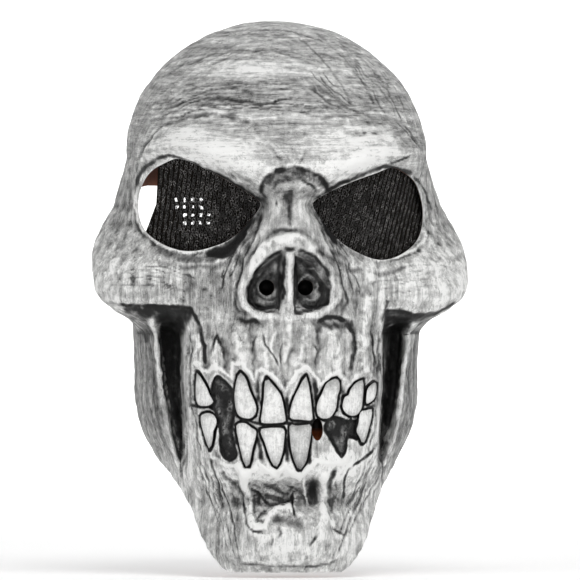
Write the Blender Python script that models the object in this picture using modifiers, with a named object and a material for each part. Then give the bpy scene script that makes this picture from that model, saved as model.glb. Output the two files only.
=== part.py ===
# Skull mask: a moulded latex shell, open at the back and below, with a black mesh panel
# glued inside behind each eye. Metres, +Z up; the face looks along -Y, +X is on the viewer's right.
# Heights are measured up from the chin edge, and y from the middle of the head. The origin is
# the inside of the crown, where the mask sits on the wearer's head, so each shape is placed
# SEAT_HEIGHT lower and SEAT_Y further forward.

import math

import bmesh
import bpy
import numpy as np
from mathutils import Matrix, Vector
from mathutils.bvhtree import BVHTree

# Driving sizes
HEIGHT = 0.300  # chin edge to the top of the crown
WALL = 0.003  # latex wall
SEAT_HEIGHT = HEIGHT - WALL
SEAT_Y = 0.022  # the top of the crown lies this far behind the middle of the head
CHIN_EDGE_BELOW = 0.014  # how far the uncut form runs on below the chin edge

# The crown is half an ellipsoid above this height.
CROWN_BASE = 0.225

# Plan sections below the crown. A squareness of 2 is an ellipse, and more is squarer.
# height, half width, front, back, squareness
SECTIONS = (
    (-0.014, 0.060, 0.072, 0.050, 2.3),
    (0.000, 0.062, 0.078, 0.050, 2.3),
    (0.012, 0.062, 0.080, 0.050, 2.3),
    (0.030, 0.062, 0.078, 0.052, 2.3),
    (0.048, 0.0625, 0.076, 0.055, 2.3),
    (0.060, 0.0655, 0.076, 0.060, 2.3),
    (0.075, 0.0730, 0.076, 0.066, 2.3),
    (0.090, 0.0765, 0.076, 0.072, 2.3),
    (0.110, 0.0770, 0.076, 0.078, 2.3),
    (0.130, 0.0780, 0.078, 0.083, 2.3),
    (0.150, 0.0785, 0.081, 0.088, 2.35),
    (0.175, 0.0790, 0.086, 0.093, 2.5),
    (0.200, 0.0800, 0.092, 0.097, 2.6),
    (0.225, 0.0815, 0.097, 0.098, 2.4),
    (0.300, 0.0815, 0.097, 0.098, 2.1),
)

# How far the cheekbone stands out sideways, where along the mask it does so most,
# and over what length it rises to that from the front
# height, y, reach, front run
CHEEKBONE = (
    (0.1290, -0.056, 0.0000, 0.020),
    (0.1360, -0.056, 0.0120, 0.020),
    (0.1410, -0.056, 0.0225, 0.020),
    (0.1470, -0.055, 0.0298, 0.020),
    (0.1520, -0.052, 0.0308, 0.021),
    (0.1580, -0.046, 0.0292, 0.024),
    (0.1660, -0.038, 0.0266, 0.029),
    (0.1780, -0.022, 0.0218, 0.036),
    (0.1880, -0.013, 0.0160, 0.038),
    (0.1980, -0.012, 0.0095, 0.038),
    (0.2100, -0.012, 0.0050, 0.038),
    (0.2240, -0.012, 0.0000, 0.038),
)
CHEEKBONE_BACK_RUN = 0.055

# Cut line of the mask's edge, seen from the side: up the chin, back along the jaw,
# up in front of the ear and back under the crown
# y, height
EDGE_LINE = (
    (-0.0735, 0.000),
    (-0.0655, 0.0155),
    (-0.0540, 0.0320),
    (-0.0445, 0.0430),
    (-0.0310, 0.0525),
    (-0.0120, 0.0595),
    (0.002, 0.069),
    (0.012, 0.085),
    (0.019, 0.110),
    (0.023, 0.150),
    (0.026, 0.186),
    (0.032, 0.200),
    (0.044, 0.2085),
    (0.060, 0.210),
)
EDGE_REACH = 0.140  # the cutter runs past the mask by this much

# One eye hole, as seen from the front on the +X side
# x, height
EYE_OUTLINE = (
    (0.0143, 0.1972),
    (0.0160, 0.2010),
    (0.031, 0.2096),
    (0.047, 0.2168),
    (0.0572, 0.2205),
    (0.0640, 0.2186),
    (0.0716, 0.2137),
    (0.0758, 0.2060),
    (0.0775, 0.1970),
    (0.0766, 0.1880),
    (0.0730, 0.1806),
    (0.0660, 0.1750),
    (0.0575, 0.1714),
    (0.0490, 0.1710),
    (0.0400, 0.1736),
    (0.0310, 0.1780),
    (0.0237, 0.1845),
    (0.0180, 0.1915),
)
EYE_LIFT = 0.0024  # the -X eye sits this much higher and the +X eye this much lower
EYE_LIFT_FROM = 0.014  # the two eyes agree at the nose, and differ fully beyond EYE_LIFT_TO
EYE_LIFT_TO = 0.055

# Half width of the nose hollow at each height
# height, half width
NOSE_HOLLOW = (
    (0.1375, 0.0000),
    (0.1405, 0.0150),
    (0.1450, 0.0205),
    (0.1500, 0.0222),
    (0.1550, 0.0208),
    (0.1600, 0.0172),
    (0.1660, 0.0120),
    (0.1705, 0.0070),
    (0.1735, 0.0000),
)
NOSE_HOLLOW_DEPTH = 0.011
SEPTUM_HALF_WIDTH = 0.0022
NOSTRIL_RADIUS = 0.0043
NOSTRIL_X = 0.0105
NOSTRIL_HEIGHT = 0.1535

# The raised rim round the nose hollow
NOSE_RIM = {"height": 0.0030, "outside": 0.0035, "radius": 0.0032}

# Two ridges that run down the chin, as x and height
CHIN_RIDGE_LEFT = ((-0.0222, 0.051), (-0.0225, 0.032), (-0.0195, 0.023), (-0.0130, 0.0195))
CHIN_RIDGE_RIGHT = ((0.0195, 0.050), (0.0195, 0.034), (0.0185, 0.020))
CHIN_RIDGE = {"height": 0.0024, "radius": 0.0032}

# Soft swells and dips in the middle of the face, each a smooth mound
# x, height, radius across, radius up, forward
FACE_SWELLS = (
    (0.000, 0.018, 0.0360, 0.0200, 0.0115),  # chin
    (0.000, 0.044, 0.0240, 0.0090, -0.0040),  # hollow under the lower teeth
    (0.001, 0.041, 0.0120, 0.0080, -0.0022),  # pit between the chin ridges
    (0.000, 0.150, 0.0340, 0.0300, 0.0075),  # mound that carries the nose
    (0.000, 0.179, 0.0145, 0.0160, 0.0095),  # nose bridge
    (0.000, 0.2035, 0.0160, 0.0055, -0.0045),  # dip at the root of the nose
    (0.000, 0.218, 0.0180, 0.0110, 0.0045),  # between the brows
    (0.000, 0.262, 0.0600, 0.0160, 0.0030),  # swell of the forehead
)

# On each side, lifted with the eye: the brow's line, and the front of the cheekbone
BROW_LINE = ((0.006, 0.211), (0.030, 0.2205), (0.056, 0.2315), (0.078, 0.2280))
BROW = {"height": 0.0080, "radius": 0.0105}
CHEEK_SWELL = {"x": 0.062, "height": 0.160, "across": 0.026, "up": 0.013, "forward": 0.0055}

# Eye sockets sink towards the nose
SOCKET_DEPTH = {"outer": 0.0045, "inner": 0.0100, "outer_x": 0.060, "inner_x": 0.020, "run": 0.009}

# The groove between the dental arch and the jaw's branch, and the ridge along that branch
# height, groove x, groove half width, ridge x
JAW_LINES = (
    (0.055, 0.0530, 0.0005, 0.0560),
    (0.075, 0.0560, 0.0030, 0.0610),
    (0.100, 0.0590, 0.0045, 0.0655),
    (0.135, 0.0605, 0.0058, 0.0680),
)
JAW_GROOVE_DEPTH = 0.016
JAW_RIDGE = {"height": 0.0030, "radius": 0.0035}

# Dental arch, which stands forward of the jaw
ARCH_HALF_WIDTH = 0.0545
ARCH_FORWARD = 0.017

# Teeth, with the root end narrow
# name, x, width, root height, biting edge height
TEETH = (
    ("upper_molar_left", -0.0508, 0.0040, 0.1070, 0.0885),
    ("upper_premolar_left", -0.0444, 0.0092, 0.1075, 0.0880),
    ("upper_canine_left", -0.0229, 0.0130, 0.1075, 0.0812),
    ("upper_incisor_left", -0.0081, 0.0145, 0.1045, 0.0792),
    ("upper_incisor_right", 0.0071, 0.0130, 0.1065, 0.0803),
    ("upper_canine_right", 0.0217, 0.0127, 0.1040, 0.0808),
    ("upper_premolar_right", 0.0362, 0.0125, 0.1030, 0.0823),
    ("upper_molar_right", 0.0465, 0.0062, 0.1010, 0.0895),
    ("lower_premolar_left", -0.0419, 0.0092, 0.0640, 0.0852),
    ("lower_canine_left", -0.0229, 0.0115, 0.0535, 0.0800),
    ("lower_incisor_left", -0.0083, 0.0140, 0.0530, 0.0779),
    ("lower_incisor_right", 0.0069, 0.0127, 0.0520, 0.0792),
    ("lower_premolar_right", 0.0438, 0.0076, 0.0630, 0.0870),
)
TOOTH_THICKNESS = 0.0090
TOOTH_SINK = 0.0010  # how far a tooth's middle lies behind the gum surface
TOOTH_EDGE_WIDTH = 1.35  # width at the biting edge over the width in the table
TOOTH_ROOT_WIDTH = 0.80  # and at the root
TOOTH_SQUARENESS = 0.68  # 1 is an ellipsoid, and less is squarer

# The gap of a missing tooth, open right through the wall
TOOTH_GAP = {"x": 0.0161, "height": 0.0772, "half_width": 0.0031, "half_height": 0.0060}

# Eye mesh panels
MESH_THICKNESS = 0.0012
MESH_GLUE_GAP = 0.0012
MESH_OVERLAP = 1.06  # panel outline over eye outline
MESH_DIVISIONS = (14, 11)
MESH_SHORT_X = -0.0675  # the -X panel stops here and leaves a slit at the outer corner

# How finely the forms are divided: around, up
OUTER_DIVISIONS = (128, 104)
INNER_DIVISIONS = (96, 80)
FRONT_CROWDING = 0.42  # 0 spreads the columns evenly, towards 1 crowds them on the face
SHELL_TRIANGLES_KEPT = 0.33  # share of the shell's triangles left after thinning out the flat areas


def rise(low, high, value):
    """0 below low, 1 above high, and smooth between. It falls instead where low is above high."""
    t = np.clip((value - low) / (high - low), 0, 1)
    return t * t * (3 - 2 * t)


def bump(x, height, at_x, at_height, radius_x, radius_height):
    return np.exp(-(((x - at_x) / radius_x) ** 2) - ((height - at_height) / radius_height) ** 2)


def along(table, column, at):
    """A smooth curve through one column of a table whose first column increases."""
    rows = np.array(table)
    stations, values = rows[:, 0], rows[:, column]
    slopes = np.gradient(values, stations)
    i = np.clip(np.searchsorted(stations, at) - 1, 0, len(stations) - 2)
    span = stations[i + 1] - stations[i]
    t = np.clip((at - stations[i]) / span, 0, 1)
    start = (1 + 2 * t) * (1 - t) ** 2 * values[i] + t * (1 - t) ** 2 * span * slopes[i]
    end = t * t * (3 - 2 * t) * values[i + 1] + t * t * (t - 1) * span * slopes[i + 1]
    return start + end


def distance_to_line(x, height, points):
    """Distance of each (x, height) to a line through points."""
    best = np.full(np.shape(x), np.inf)
    for (ax, ah), (bx, bh) in zip(points[:-1], points[1:]):
        run, climb = bx - ax, bh - ah
        t = np.clip(((x - ax) * run + (height - ah) * climb) / (run**2 + climb**2), 0, 1)
        best = np.minimum(best, np.hypot(x - ax - t * run, height - ah - t * climb))
    return best


def inside_outline(x, height, points):
    """Whether each (x, height) lies inside a closed outline."""
    inside = np.zeros(np.shape(x), bool)
    for (ax, ah), (bx, bh) in zip(points, points[1:] + points[:1]):
        crosses = (ah > height) != (bh > height)
        at = ax + (height - ah) * (bx - ax) / np.where(bh == ah, 1e-12, bh - ah)
        inside ^= crosses & (x < at)
    return inside


def eye_outline(side):
    """The eye hole's outline on one side, with side -1 or 1."""
    points = []
    for x, height in EYE_OUTLINE:
        lift = EYE_LIFT * float(rise(EYE_LIFT_FROM, EYE_LIFT_TO, x))
        points.append((side * x, height - side * lift))
    return points


def cheekbone_reach(y, height, inset):
    """How far the cheekbone stands out sideways."""
    rows = np.array(CHEEKBONE)
    middle = np.interp(height, rows[:, 0], rows[:, 1])
    lower = np.interp(height - inset, rows[:, 0], rows[:, 2])
    upper = np.interp(height + inset, rows[:, 0], rows[:, 2])
    ahead = rise(middle - np.interp(height, rows[:, 0], rows[:, 3]), middle, y)
    behind = rise(middle + CHEEKBONE_BACK_RUN, middle + 0.004, y)
    return np.minimum(lower, upper) * ahead * behind


def eye_socket(x, height, side, inset):
    """How far the surface round one eye hole lies back."""
    outline = eye_outline(side)
    distance = distance_to_line(x, height, outline + outline[:1])
    distance = np.where(inside_outline(x, height, outline), -distance, distance)
    towards_nose = rise(SOCKET_DEPTH["outer_x"], SOCKET_DEPTH["inner_x"], side * x)
    depth = SOCKET_DEPTH["outer"] + (SOCKET_DEPTH["inner"] - SOCKET_DEPTH["outer"]) * towards_nose
    return depth * rise(SOCKET_DEPTH["run"] + inset, -0.002, distance)


def nose_hollow(x, height, inset):
    """How far the nose hollow lies back, with the septum left standing in the outer form."""
    half_width = np.maximum(along(NOSE_HOLLOW, 1, height), 0) + inset
    ends = rise(0.1365 - inset, 0.1425 - inset, height) * rise(0.1745 + inset, 0.1685 + inset, height)
    hollow = rise(0.0020, -0.0035, np.abs(x) - half_width) * ends
    if inset:
        return NOSE_HOLLOW_DEPTH * hollow
    septum = rise(SEPTUM_HALF_WIDTH + 0.0022, SEPTUM_HALF_WIDTH, np.abs(x))
    return NOSE_HOLLOW_DEPTH * hollow * (1 - 0.75 * septum)


def nose_rim(x, height):
    """The raised rim round the nose hollow."""
    line = [(half, h) for h, half in NOSE_HOLLOW] + [(-half, h) for h, half in NOSE_HOLLOW[-2::-1]]
    distance = distance_to_line(x, height, line)
    swell = np.exp(-(((distance - NOSE_RIM["outside"]) / NOSE_RIM["radius"]) ** 2))
    return NOSE_RIM["height"] * swell * rise(0.139, 0.150, height)


def jaw_line(column, height):
    rows = np.array(JAW_LINES)
    return np.interp(height, rows[:, 0], rows[:, column])


def jaw_groove(x, height, side, inset):
    """How far the groove between the dental arch and the jaw's branch lies back."""
    half_width = jaw_line(2, height) + inset
    off_middle = np.abs(side * x - jaw_line(1, height))
    reach = rise(half_width + 0.0028, half_width - 0.0012, off_middle)
    ends = rise(0.052, 0.066, height) * rise(0.140 + inset, 0.130 + inset, height)
    return JAW_GROOVE_DEPTH * reach * ends * (side * x > 0)


def jaw_branch_ridge(x, height, side):
    off_middle = side * x - jaw_line(3, height)
    ends = rise(0.052, 0.070, height) * rise(0.142, 0.132, height)
    return JAW_RIDGE["height"] * np.exp(-((off_middle / JAW_RIDGE["radius"]) ** 2)) * ends


def face_forward(x, height, inset):
    """How far the face stands forward of the plain head form at each (x, height)."""
    arch = np.sqrt(1 - np.clip(np.abs(x) / (ARCH_HALF_WIDTH - inset), 0, 1) ** 2.6)
    forward = ARCH_FORWARD * arch * rise(0.036, 0.056, height) * rise(0.160, 0.116, height)
    for at_x, at_height, across, up, amount in FACE_SWELLS:
        forward += amount * bump(x, height, at_x, at_height, across, up)
    for side in (-1, 1):
        lift = -side * EYE_LIFT
        brow = [(side * at_x, at_height + lift * (at_x > EYE_LIFT_FROM)) for at_x, at_height in BROW_LINE]
        to_brow = distance_to_line(x, height, brow)
        forward += BROW["height"] * np.exp(-((to_brow / BROW["radius"]) ** 2))
        cheek = CHEEK_SWELL
        swell = bump(x, height, side * cheek["x"], cheek["height"] + lift, cheek["across"], cheek["up"])
        forward += cheek["forward"] * swell
        forward += jaw_branch_ridge(x, height, side)
        forward -= eye_socket(x, height, side, inset)
        forward -= jaw_groove(x, height, side, inset)
    for ridge in (CHIN_RIDGE_LEFT, CHIN_RIDGE_RIGHT):
        to_ridge = distance_to_line(x, height, ridge)
        forward += CHIN_RIDGE["height"] * np.exp(-((to_ridge / CHIN_RIDGE["radius"]) ** 2))
    return forward + nose_rim(x, height) - nose_hollow(x, height, inset)


def head_points(directions, inset):
    """Moves the points of a unit sphere onto the head form. inset draws the whole form in by a wall."""
    turn = np.arctan2(directions[:, 0], -directions[:, 1])
    turn = turn - FRONT_CROWDING * np.sin(turn)
    down = np.arccos(np.clip(directions[:, 2], -1, 1)) / math.pi
    crown_share = 0.26
    tilt = np.clip(down / crown_share, 0, 1) * math.pi / 2
    fall = np.clip((down - crown_share) / (1 - crown_share), 0, 1)
    crown_height = HEIGHT - CROWN_BASE - inset
    height = CROWN_BASE + crown_height * np.cos(tilt) - fall * (CROWN_BASE + CHIN_EDGE_BELOW + inset)
    closing = np.where(fall > 0, np.sqrt(np.clip((1 - fall) / 0.03, 0, 1)), np.sin(tilt))
    half_width = (along(SECTIONS, 1, height) - inset) * closing
    lean = SEAT_Y * np.clip((height - CROWN_BASE) / (HEIGHT - CROWN_BASE), 0, 1)
    front = (along(SECTIONS, 2, height) - inset) * closing
    back = (along(SECTIONS, 3, height) - inset) * closing
    power = 2 / along(SECTIONS, 4, height)
    across, ahead = np.sin(turn), np.cos(turn)
    x = half_width * np.sign(across) * np.abs(across) ** power
    reach = np.sign(ahead) * np.abs(ahead) ** power
    y = np.where(ahead > 0, -front * reach, -back * reach)
    x = x + np.sign(x) * cheekbone_reach(y, height, inset) * rise(0.024, 0.044, np.abs(x))
    facing = rise(0.15, 0.55, np.clip(reach, 0, 1)) * closing
    y = y + lean - face_forward(x, height, inset) * facing
    return np.column_stack((x, y - SEAT_Y, height - SEAT_HEIGHT))


def new_object(name, bm, collection):
    mesh = bpy.data.meshes.new(name)
    bm.to_mesh(mesh)
    bm.free()
    made = bpy.data.objects.new(name, mesh)
    collection.objects.link(made)
    return made


def new_collection(name, hidden=False):
    made = bpy.data.collections.new(name)
    bpy.context.scene.collection.children.link(made)
    made.hide_render = hidden
    return made


def mark_as_cutter(cutter):
    cutter.hide_render = True
    cutter.display_type = "WIRE"
    return cutter


def head_form(name, divisions, inset, collection):
    """The whole head as one closed form."""
    bm = bmesh.new()
    bmesh.ops.create_uvsphere(bm, u_segments=divisions[0], v_segments=divisions[1], radius=1)
    points = head_points(np.array([v.co for v in bm.verts]), inset)
    for vertex, point in zip(bm.verts, points):
        vertex.co = point
    bmesh.ops.recalc_face_normals(bm, faces=bm.faces)
    return new_object(name, bm, collection)


def prism(name, outline, depth, collection):
    """A flat outline in the XY plane, extruded to both sides by depth, as a closed mesh."""
    curve = bpy.data.curves.new(name + "_outline", "CURVE")
    curve.dimensions = "2D"
    curve.fill_mode = "BOTH"
    curve.extrude = depth
    spline = curve.splines.new("POLY")
    spline.points.add(len(outline) - 1)
    for point, (a, b) in zip(spline.points, outline):
        point.co = (a, b, 0, 1)
    spline.use_cyclic_u = True
    guide = bpy.data.objects.new(name + "_outline", curve)
    collection.objects.link(guide)
    mesh = bpy.data.meshes.new_from_object(guide.evaluated_get(bpy.context.evaluated_depsgraph_get()))
    bpy.data.objects.remove(guide)
    bm = bmesh.new()
    bm.from_mesh(mesh)
    bpy.data.meshes.remove(mesh)
    bmesh.ops.remove_doubles(bm, verts=bm.verts, dist=0.00001)
    bmesh.ops.recalc_face_normals(bm, faces=bm.faces)
    return mark_as_cutter(new_object(name, bm, collection))


def front_prism(name, outline, nearest, furthest, collection):
    """A cutter with an outline seen from the front, running from y = nearest to y = furthest."""
    lowered = [(x, height - SEAT_HEIGHT) for x, height in outline]
    cutter = prism(name, lowered, (furthest - nearest) / 2, collection)
    middle = Matrix.Translation((0, (nearest + furthest) / 2 - SEAT_Y, 0))
    cutter.matrix_world = middle @ Matrix.Rotation(math.pi / 2, 4, "X")
    return cutter


def edge_cutter(collection):
    """Removes what lies below the chin edge and behind the edge line."""
    top, bottom = EDGE_LINE[-1][1], -0.04
    outline = [(-EDGE_REACH, 0.0), *EDGE_LINE, (EDGE_REACH, top)]
    outline += [(EDGE_REACH, bottom), (-EDGE_REACH, bottom)]
    lowered = [(y - SEAT_Y, height - SEAT_HEIGHT) for y, height in outline]
    cutter = prism("edge_cutter", lowered, EDGE_REACH, collection)
    # The outline's first axis becomes world Y and its second world Z.
    cutter.matrix_world = Matrix(((0, 0, 1, 0), (1, 0, 0, 0), (0, 1, 0, 0), (0, 0, 0, 1)))
    return cutter


def ellipse_outline(x, height, half_width, half_height, count):
    turns = [2 * math.pi * i / count for i in range(count)]
    return [(x + half_width * math.cos(t), height + half_height * math.sin(t)) for t in turns]


def surface_finder(obj):
    """A function that gives the point and normal where a line along Y first meets obj, from the front."""
    bm = bmesh.new()
    bm.from_mesh(obj.data)
    tree = BVHTree.FromBMesh(bm)
    bm.free()

    def find(x, height):
        point, normal, _, _ = tree.ray_cast(Vector((x, -0.3, height - SEAT_HEIGHT)), Vector((0, 1, 0)))
        return point, normal

    return find


def tooth(name, x, width, root, edge, find_gum, collection):
    """A tooth as a rounded peg that narrows to its root, set in the gum and turned to face outwards."""
    length = abs(root - edge)
    bm = bmesh.new()
    bmesh.ops.create_uvsphere(bm, u_segments=12, v_segments=8, radius=1)
    for vertex in bm.verts:
        across, deep, up = vertex.co
        to_root = 0.5 + 0.5 * (up if root > edge else -up)
        narrowing = TOOTH_EDGE_WIDTH + (TOOTH_ROOT_WIDTH - TOOTH_EDGE_WIDTH) * to_root
        vertex.co.x = math.copysign(abs(across) ** TOOTH_SQUARENESS, across) * narrowing * width / 2
        vertex.co.y = deep * TOOTH_THICKNESS / 2
        vertex.co.z = math.copysign(abs(up) ** TOOTH_SQUARENESS, up) * length / 2
    made = mark_as_cutter(new_object(name, bm, collection))
    point, normal = find_gum(x, (root + edge) / 2)
    turned = 0.8 * math.atan2(normal.x, -normal.y)
    made.location = point + Vector((-math.sin(turned), math.cos(turned), 0)) * TOOTH_SINK
    made.rotation_euler = (0, 0, turned)
    return made


def add_boolean(obj, name, operation, operand):
    cut = obj.modifiers.new(name, "BOOLEAN")
    cut.operation = operation
    cut.solver = "MANIFOLD"  # EXACT leaves pinched edges at the corners of the eyes
    if isinstance(operand, bpy.types.Collection):
        cut.operand_type = "COLLECTION"
        cut.collection = operand
    else:
        cut.object = operand


def outline_radius(points, centre):
    """A function that gives the distance from centre to the outline in a direction."""
    angles = np.array([math.atan2(h - centre[1], x - centre[0]) for x, h in points])
    radii = np.array([math.hypot(h - centre[1], x - centre[0]) for x, h in points])
    order = np.argsort(angles)
    return lambda angle: float(np.interp(angle, angles[order], radii[order], period=2 * math.pi))


def mesh_panel(name, side, find_inside, collection):
    """A thin panel that lies against the inside of the shell and closes one eye hole."""
    outline = eye_outline(side)
    centre = np.mean(outline, axis=0)
    radius = outline_radius(outline, centre)
    bm = bmesh.new()
    bmesh.ops.create_grid(bm, x_segments=MESH_DIVISIONS[0], y_segments=MESH_DIVISIONS[1], size=1)
    for vertex in bm.verts:
        a, b = vertex.co.x, vertex.co.y
        across, up = a * math.sqrt(1 - b * b / 2), b * math.sqrt(1 - a * a / 2)
        reach = math.hypot(across, up)
        angle = math.atan2(up, across)
        x = centre[0] + reach * MESH_OVERLAP * radius(angle) * math.cos(angle)
        height = centre[1] + reach * MESH_OVERLAP * radius(angle) * math.sin(angle)
        point, _ = find_inside(x, height)
        vertex.co = (x, point.y + MESH_GLUE_GAP, height - SEAT_HEIGHT)
    if side < 0:
        everything = [*bm.verts, *bm.edges, *bm.faces]
        bmesh.ops.bisect_plane(
            bm,
            geom=everything,
            plane_co=(MESH_SHORT_X, 0, centre[1] - SEAT_HEIGHT),
            plane_no=(-1, 0, -0.08),
            clear_outer=True,
        )
    bmesh.ops.recalc_face_normals(bm, faces=bm.faces)
    if sum(face.normal.y for face in bm.faces) > 0:
        bmesh.ops.reverse_faces(bm, faces=bm.faces)
    made = new_object(name, bm, collection)
    wall = made.modifiers.new("thickness", "SOLIDIFY")
    wall.thickness = MESH_THICKNESS
    wall.offset = -1
    return made


def coloured(obj, name, colour, roughness):
    material = bpy.data.materials.new(name)
    material.use_nodes = True
    shader = material.node_tree.nodes["Principled BSDF"]
    shader.inputs["Base Color"].default_value = (*colour, 1)
    shader.inputs["Roughness"].default_value = roughness
    shader.inputs["Metallic"].default_value = 0
    obj.data.materials.clear()
    obj.data.materials.append(material)


def main():
    for old in list(bpy.data.objects):
        bpy.data.objects.remove(old)
    parts = new_collection("skull_mask")
    cutters = new_collection("cutters", hidden=True)
    teeth = new_collection("teeth", hidden=True)
    openings = new_collection("openings", hidden=True)

    shell = head_form("skull_shell", OUTER_DIVISIONS, 0.0, parts)
    hollow = mark_as_cutter(head_form("hollow", INNER_DIVISIONS, WALL, cutters))
    find_gum = surface_finder(shell)
    for name, x, width, root, edge in TEETH:
        tooth(name, x, width, root, edge, find_gum, teeth)

    edge_cutter(openings)
    for side, word in ((-1, "left"), (1, "right")):
        front_prism("eye_hole_" + word, eye_outline(side), -0.130, -0.010, openings)
        nostril = ellipse_outline(side * NOSTRIL_X, NOSTRIL_HEIGHT, NOSTRIL_RADIUS, NOSTRIL_RADIUS, 14)
        front_prism("nostril_" + word, nostril, -0.125, -0.050, openings)
    gap_size = (TOOTH_GAP["half_width"], TOOTH_GAP["half_height"])
    gap = ellipse_outline(TOOTH_GAP["x"], TOOTH_GAP["height"], *gap_size, 12)
    front_prism("tooth_gap", gap, -0.125, -0.050, openings)

    add_boolean(shell, "teeth", "UNION", teeth)
    add_boolean(shell, "hollow", "DIFFERENCE", hollow)
    add_boolean(shell, "openings", "DIFFERENCE", openings)
    thinning = shell.modifiers.new("thinning", "DECIMATE")
    thinning.ratio = SHELL_TRIANGLES_KEPT
    coloured(shell, "painted_latex", (0.62, 0.62, 0.60), 0.65)

    find_inside = surface_finder(hollow)
    for side, word in ((-1, "left"), (1, "right")):
        panel = mesh_panel("eye_mesh_" + word, side, find_inside, parts)
        coloured(panel, "black_mesh", (0.015, 0.015, 0.016), 0.45)


main()
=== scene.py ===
# Skull mask: painted latex skin with its teeth, and a knit net glued behind each eye hole.
# Metres, the same frame as the solids. The face looks along -Y and +X is on the viewer's right.

import math
import time

import bmesh
import bpy
import numpy as np
from mathutils import Matrix, Vector
from mathutils.bvhtree import BVHTree


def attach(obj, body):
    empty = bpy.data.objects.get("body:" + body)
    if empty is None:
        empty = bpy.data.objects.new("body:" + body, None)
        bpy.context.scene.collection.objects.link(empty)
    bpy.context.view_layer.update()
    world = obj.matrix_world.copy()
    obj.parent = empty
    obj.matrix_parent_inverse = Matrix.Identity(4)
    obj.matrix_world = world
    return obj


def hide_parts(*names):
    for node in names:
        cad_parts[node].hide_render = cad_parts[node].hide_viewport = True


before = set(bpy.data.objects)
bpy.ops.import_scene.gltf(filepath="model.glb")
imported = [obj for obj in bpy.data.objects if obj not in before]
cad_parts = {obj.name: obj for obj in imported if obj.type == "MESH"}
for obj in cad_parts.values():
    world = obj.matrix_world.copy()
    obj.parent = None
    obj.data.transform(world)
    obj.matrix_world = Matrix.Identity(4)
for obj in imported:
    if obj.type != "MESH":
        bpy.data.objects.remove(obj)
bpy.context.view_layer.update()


started = time.time()


def report(*words):
    print(f"{time.time() - started:5.1f} s ", *words)


# camera first, because the fine shapes are placed by where they show in the picture
picture = {
    "pixels": 580,
    "pixelSize": 0.0005474,  # what one pixel spans at the middle of the head
    "azimuth": math.radians(-4.0),
    "distance": 5.0,
    "aimRight": 0.00766,
    "aimY": -0.022,
    "aimZ": -0.1448,
}
lookRight = np.array([math.cos(picture["azimuth"]), math.sin(picture["azimuth"]), 0.0])
lookAhead = np.array([-math.sin(picture["azimuth"]), math.cos(picture["azimuth"]), 0.0])
lookAt = lookRight * picture["aimRight"] + np.array([0, picture["aimY"], picture["aimZ"]])
lookFrom = lookAt - lookAhead * picture["distance"]


def inPicture(points):
    # where points show in the picture, in pixels from its top left corner
    offset = points - lookFrom
    scale = picture["distance"] / picture["pixelSize"] / (offset @ lookAhead)
    middle = picture["pixels"] / 2
    return middle + (offset @ lookRight) * scale, middle - offset[:, 2] * scale


# small tools
def rise(low, high, value):
    t = np.clip((value - low) / (high - low), 0, 1)
    return t * t * (3 - 2 * t)


def bump(x, height, atX, atHeight, radiusX, radiusHeight):
    return np.exp(-(((x - atX) / radiusX) ** 2) - ((height - atHeight) / radiusHeight) ** 2)


def along(table, column, at):
    # smooth curve through one column of a table whose first column increases
    rows = np.array(table)
    stations, values = rows[:, 0], rows[:, column]
    slopes = np.gradient(values, stations)
    i = np.clip(np.searchsorted(stations, at) - 1, 0, len(stations) - 2)
    span = stations[i + 1] - stations[i]
    t = np.clip((at - stations[i]) / span, 0, 1)
    start = (1 + 2 * t) * (1 - t) ** 2 * values[i] + t * (1 - t) ** 2 * span * slopes[i]
    end = t * t * (3 - 2 * t) * values[i + 1] + t * t * (t - 1) * span * slopes[i + 1]
    return start + end


def lineDistance(a, b, line):
    best = np.full(np.shape(a), 1e9)
    for (ax, ay), (bx, by) in zip(line[:-1], line[1:]):
        run, climb = bx - ax, by - ay
        t = np.clip(((a - ax) * run + (b - ay) * climb) / (run**2 + climb**2 + 1e-18), 0, 1)
        best = np.minimum(best, np.hypot(a - ax - t * run, b - ay - t * climb))
    return best


def insideOutline(a, b, outline):
    inside = np.zeros(np.shape(a), bool)
    for (ax, ay), (bx, by) in zip(outline, outline[1:] + outline[:1]):
        crosses = (ay > b) != (by > b)
        at = ax + (b - ay) * (bx - ax) / (by - ay if by != ay else 1e-12)
        inside ^= crosses & (a < at)
    return inside


def outlineDistance(a, b, outline):
    # negative inside the outline
    distance = lineDistance(a, b, outline + outline[:1])
    return np.where(insideOutline(a, b, outline), -distance, distance)


def smoothOutline(outline, count):
    # a rounded closed line through the points of an outline
    points = np.array(outline)
    total = len(points)
    smooth = []
    for i in range(count):
        at = i * total / count
        k, t = int(at), at - int(at)
        p0, p1, p2, p3 = (points[(k + j - 1) % total] for j in range(4))
        square = (2 * p0 - 5 * p1 + 4 * p2 - p3) * t**2
        cube = (3 * p1 - p0 - 3 * p2 + p3) * t**3
        smooth.append(0.5 * (2 * p1 + (p2 - p0) * t + square + cube))
    return [tuple(p) for p in smooth]


def nearby(a, b, line, margin):
    # only these points are worth measuring to a line
    us, vs = [p[0] for p in line], [p[1] for p in line]
    near = (a > min(us) - margin) & (a < max(us) + margin)
    return np.nonzero(near & (b > min(vs) - margin) & (b < max(vs) + margin))[0]


def deselectAll():
    if bpy.context.object and bpy.context.object.mode != "OBJECT":
        bpy.ops.object.mode_set(mode="OBJECT")
    bpy.ops.object.select_all(action="DESELECT")


def activate(obj):
    deselectAll()
    obj.select_set(True)
    bpy.context.view_layer.objects.active = obj


def selectPoints(obj, chosen):
    # leaves the object in edit mode with only the chosen points, and what lies between them, selected
    activate(obj)
    bpy.ops.object.mode_set(mode="EDIT")
    bpy.ops.mesh.select_mode(type="VERT")
    bpy.ops.mesh.select_all(action="DESELECT")
    bpy.ops.object.mode_set(mode="OBJECT")
    obj.data.vertices.foreach_set("select", np.asarray(chosen, bool))
    bpy.ops.object.mode_set(mode="EDIT")


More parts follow.
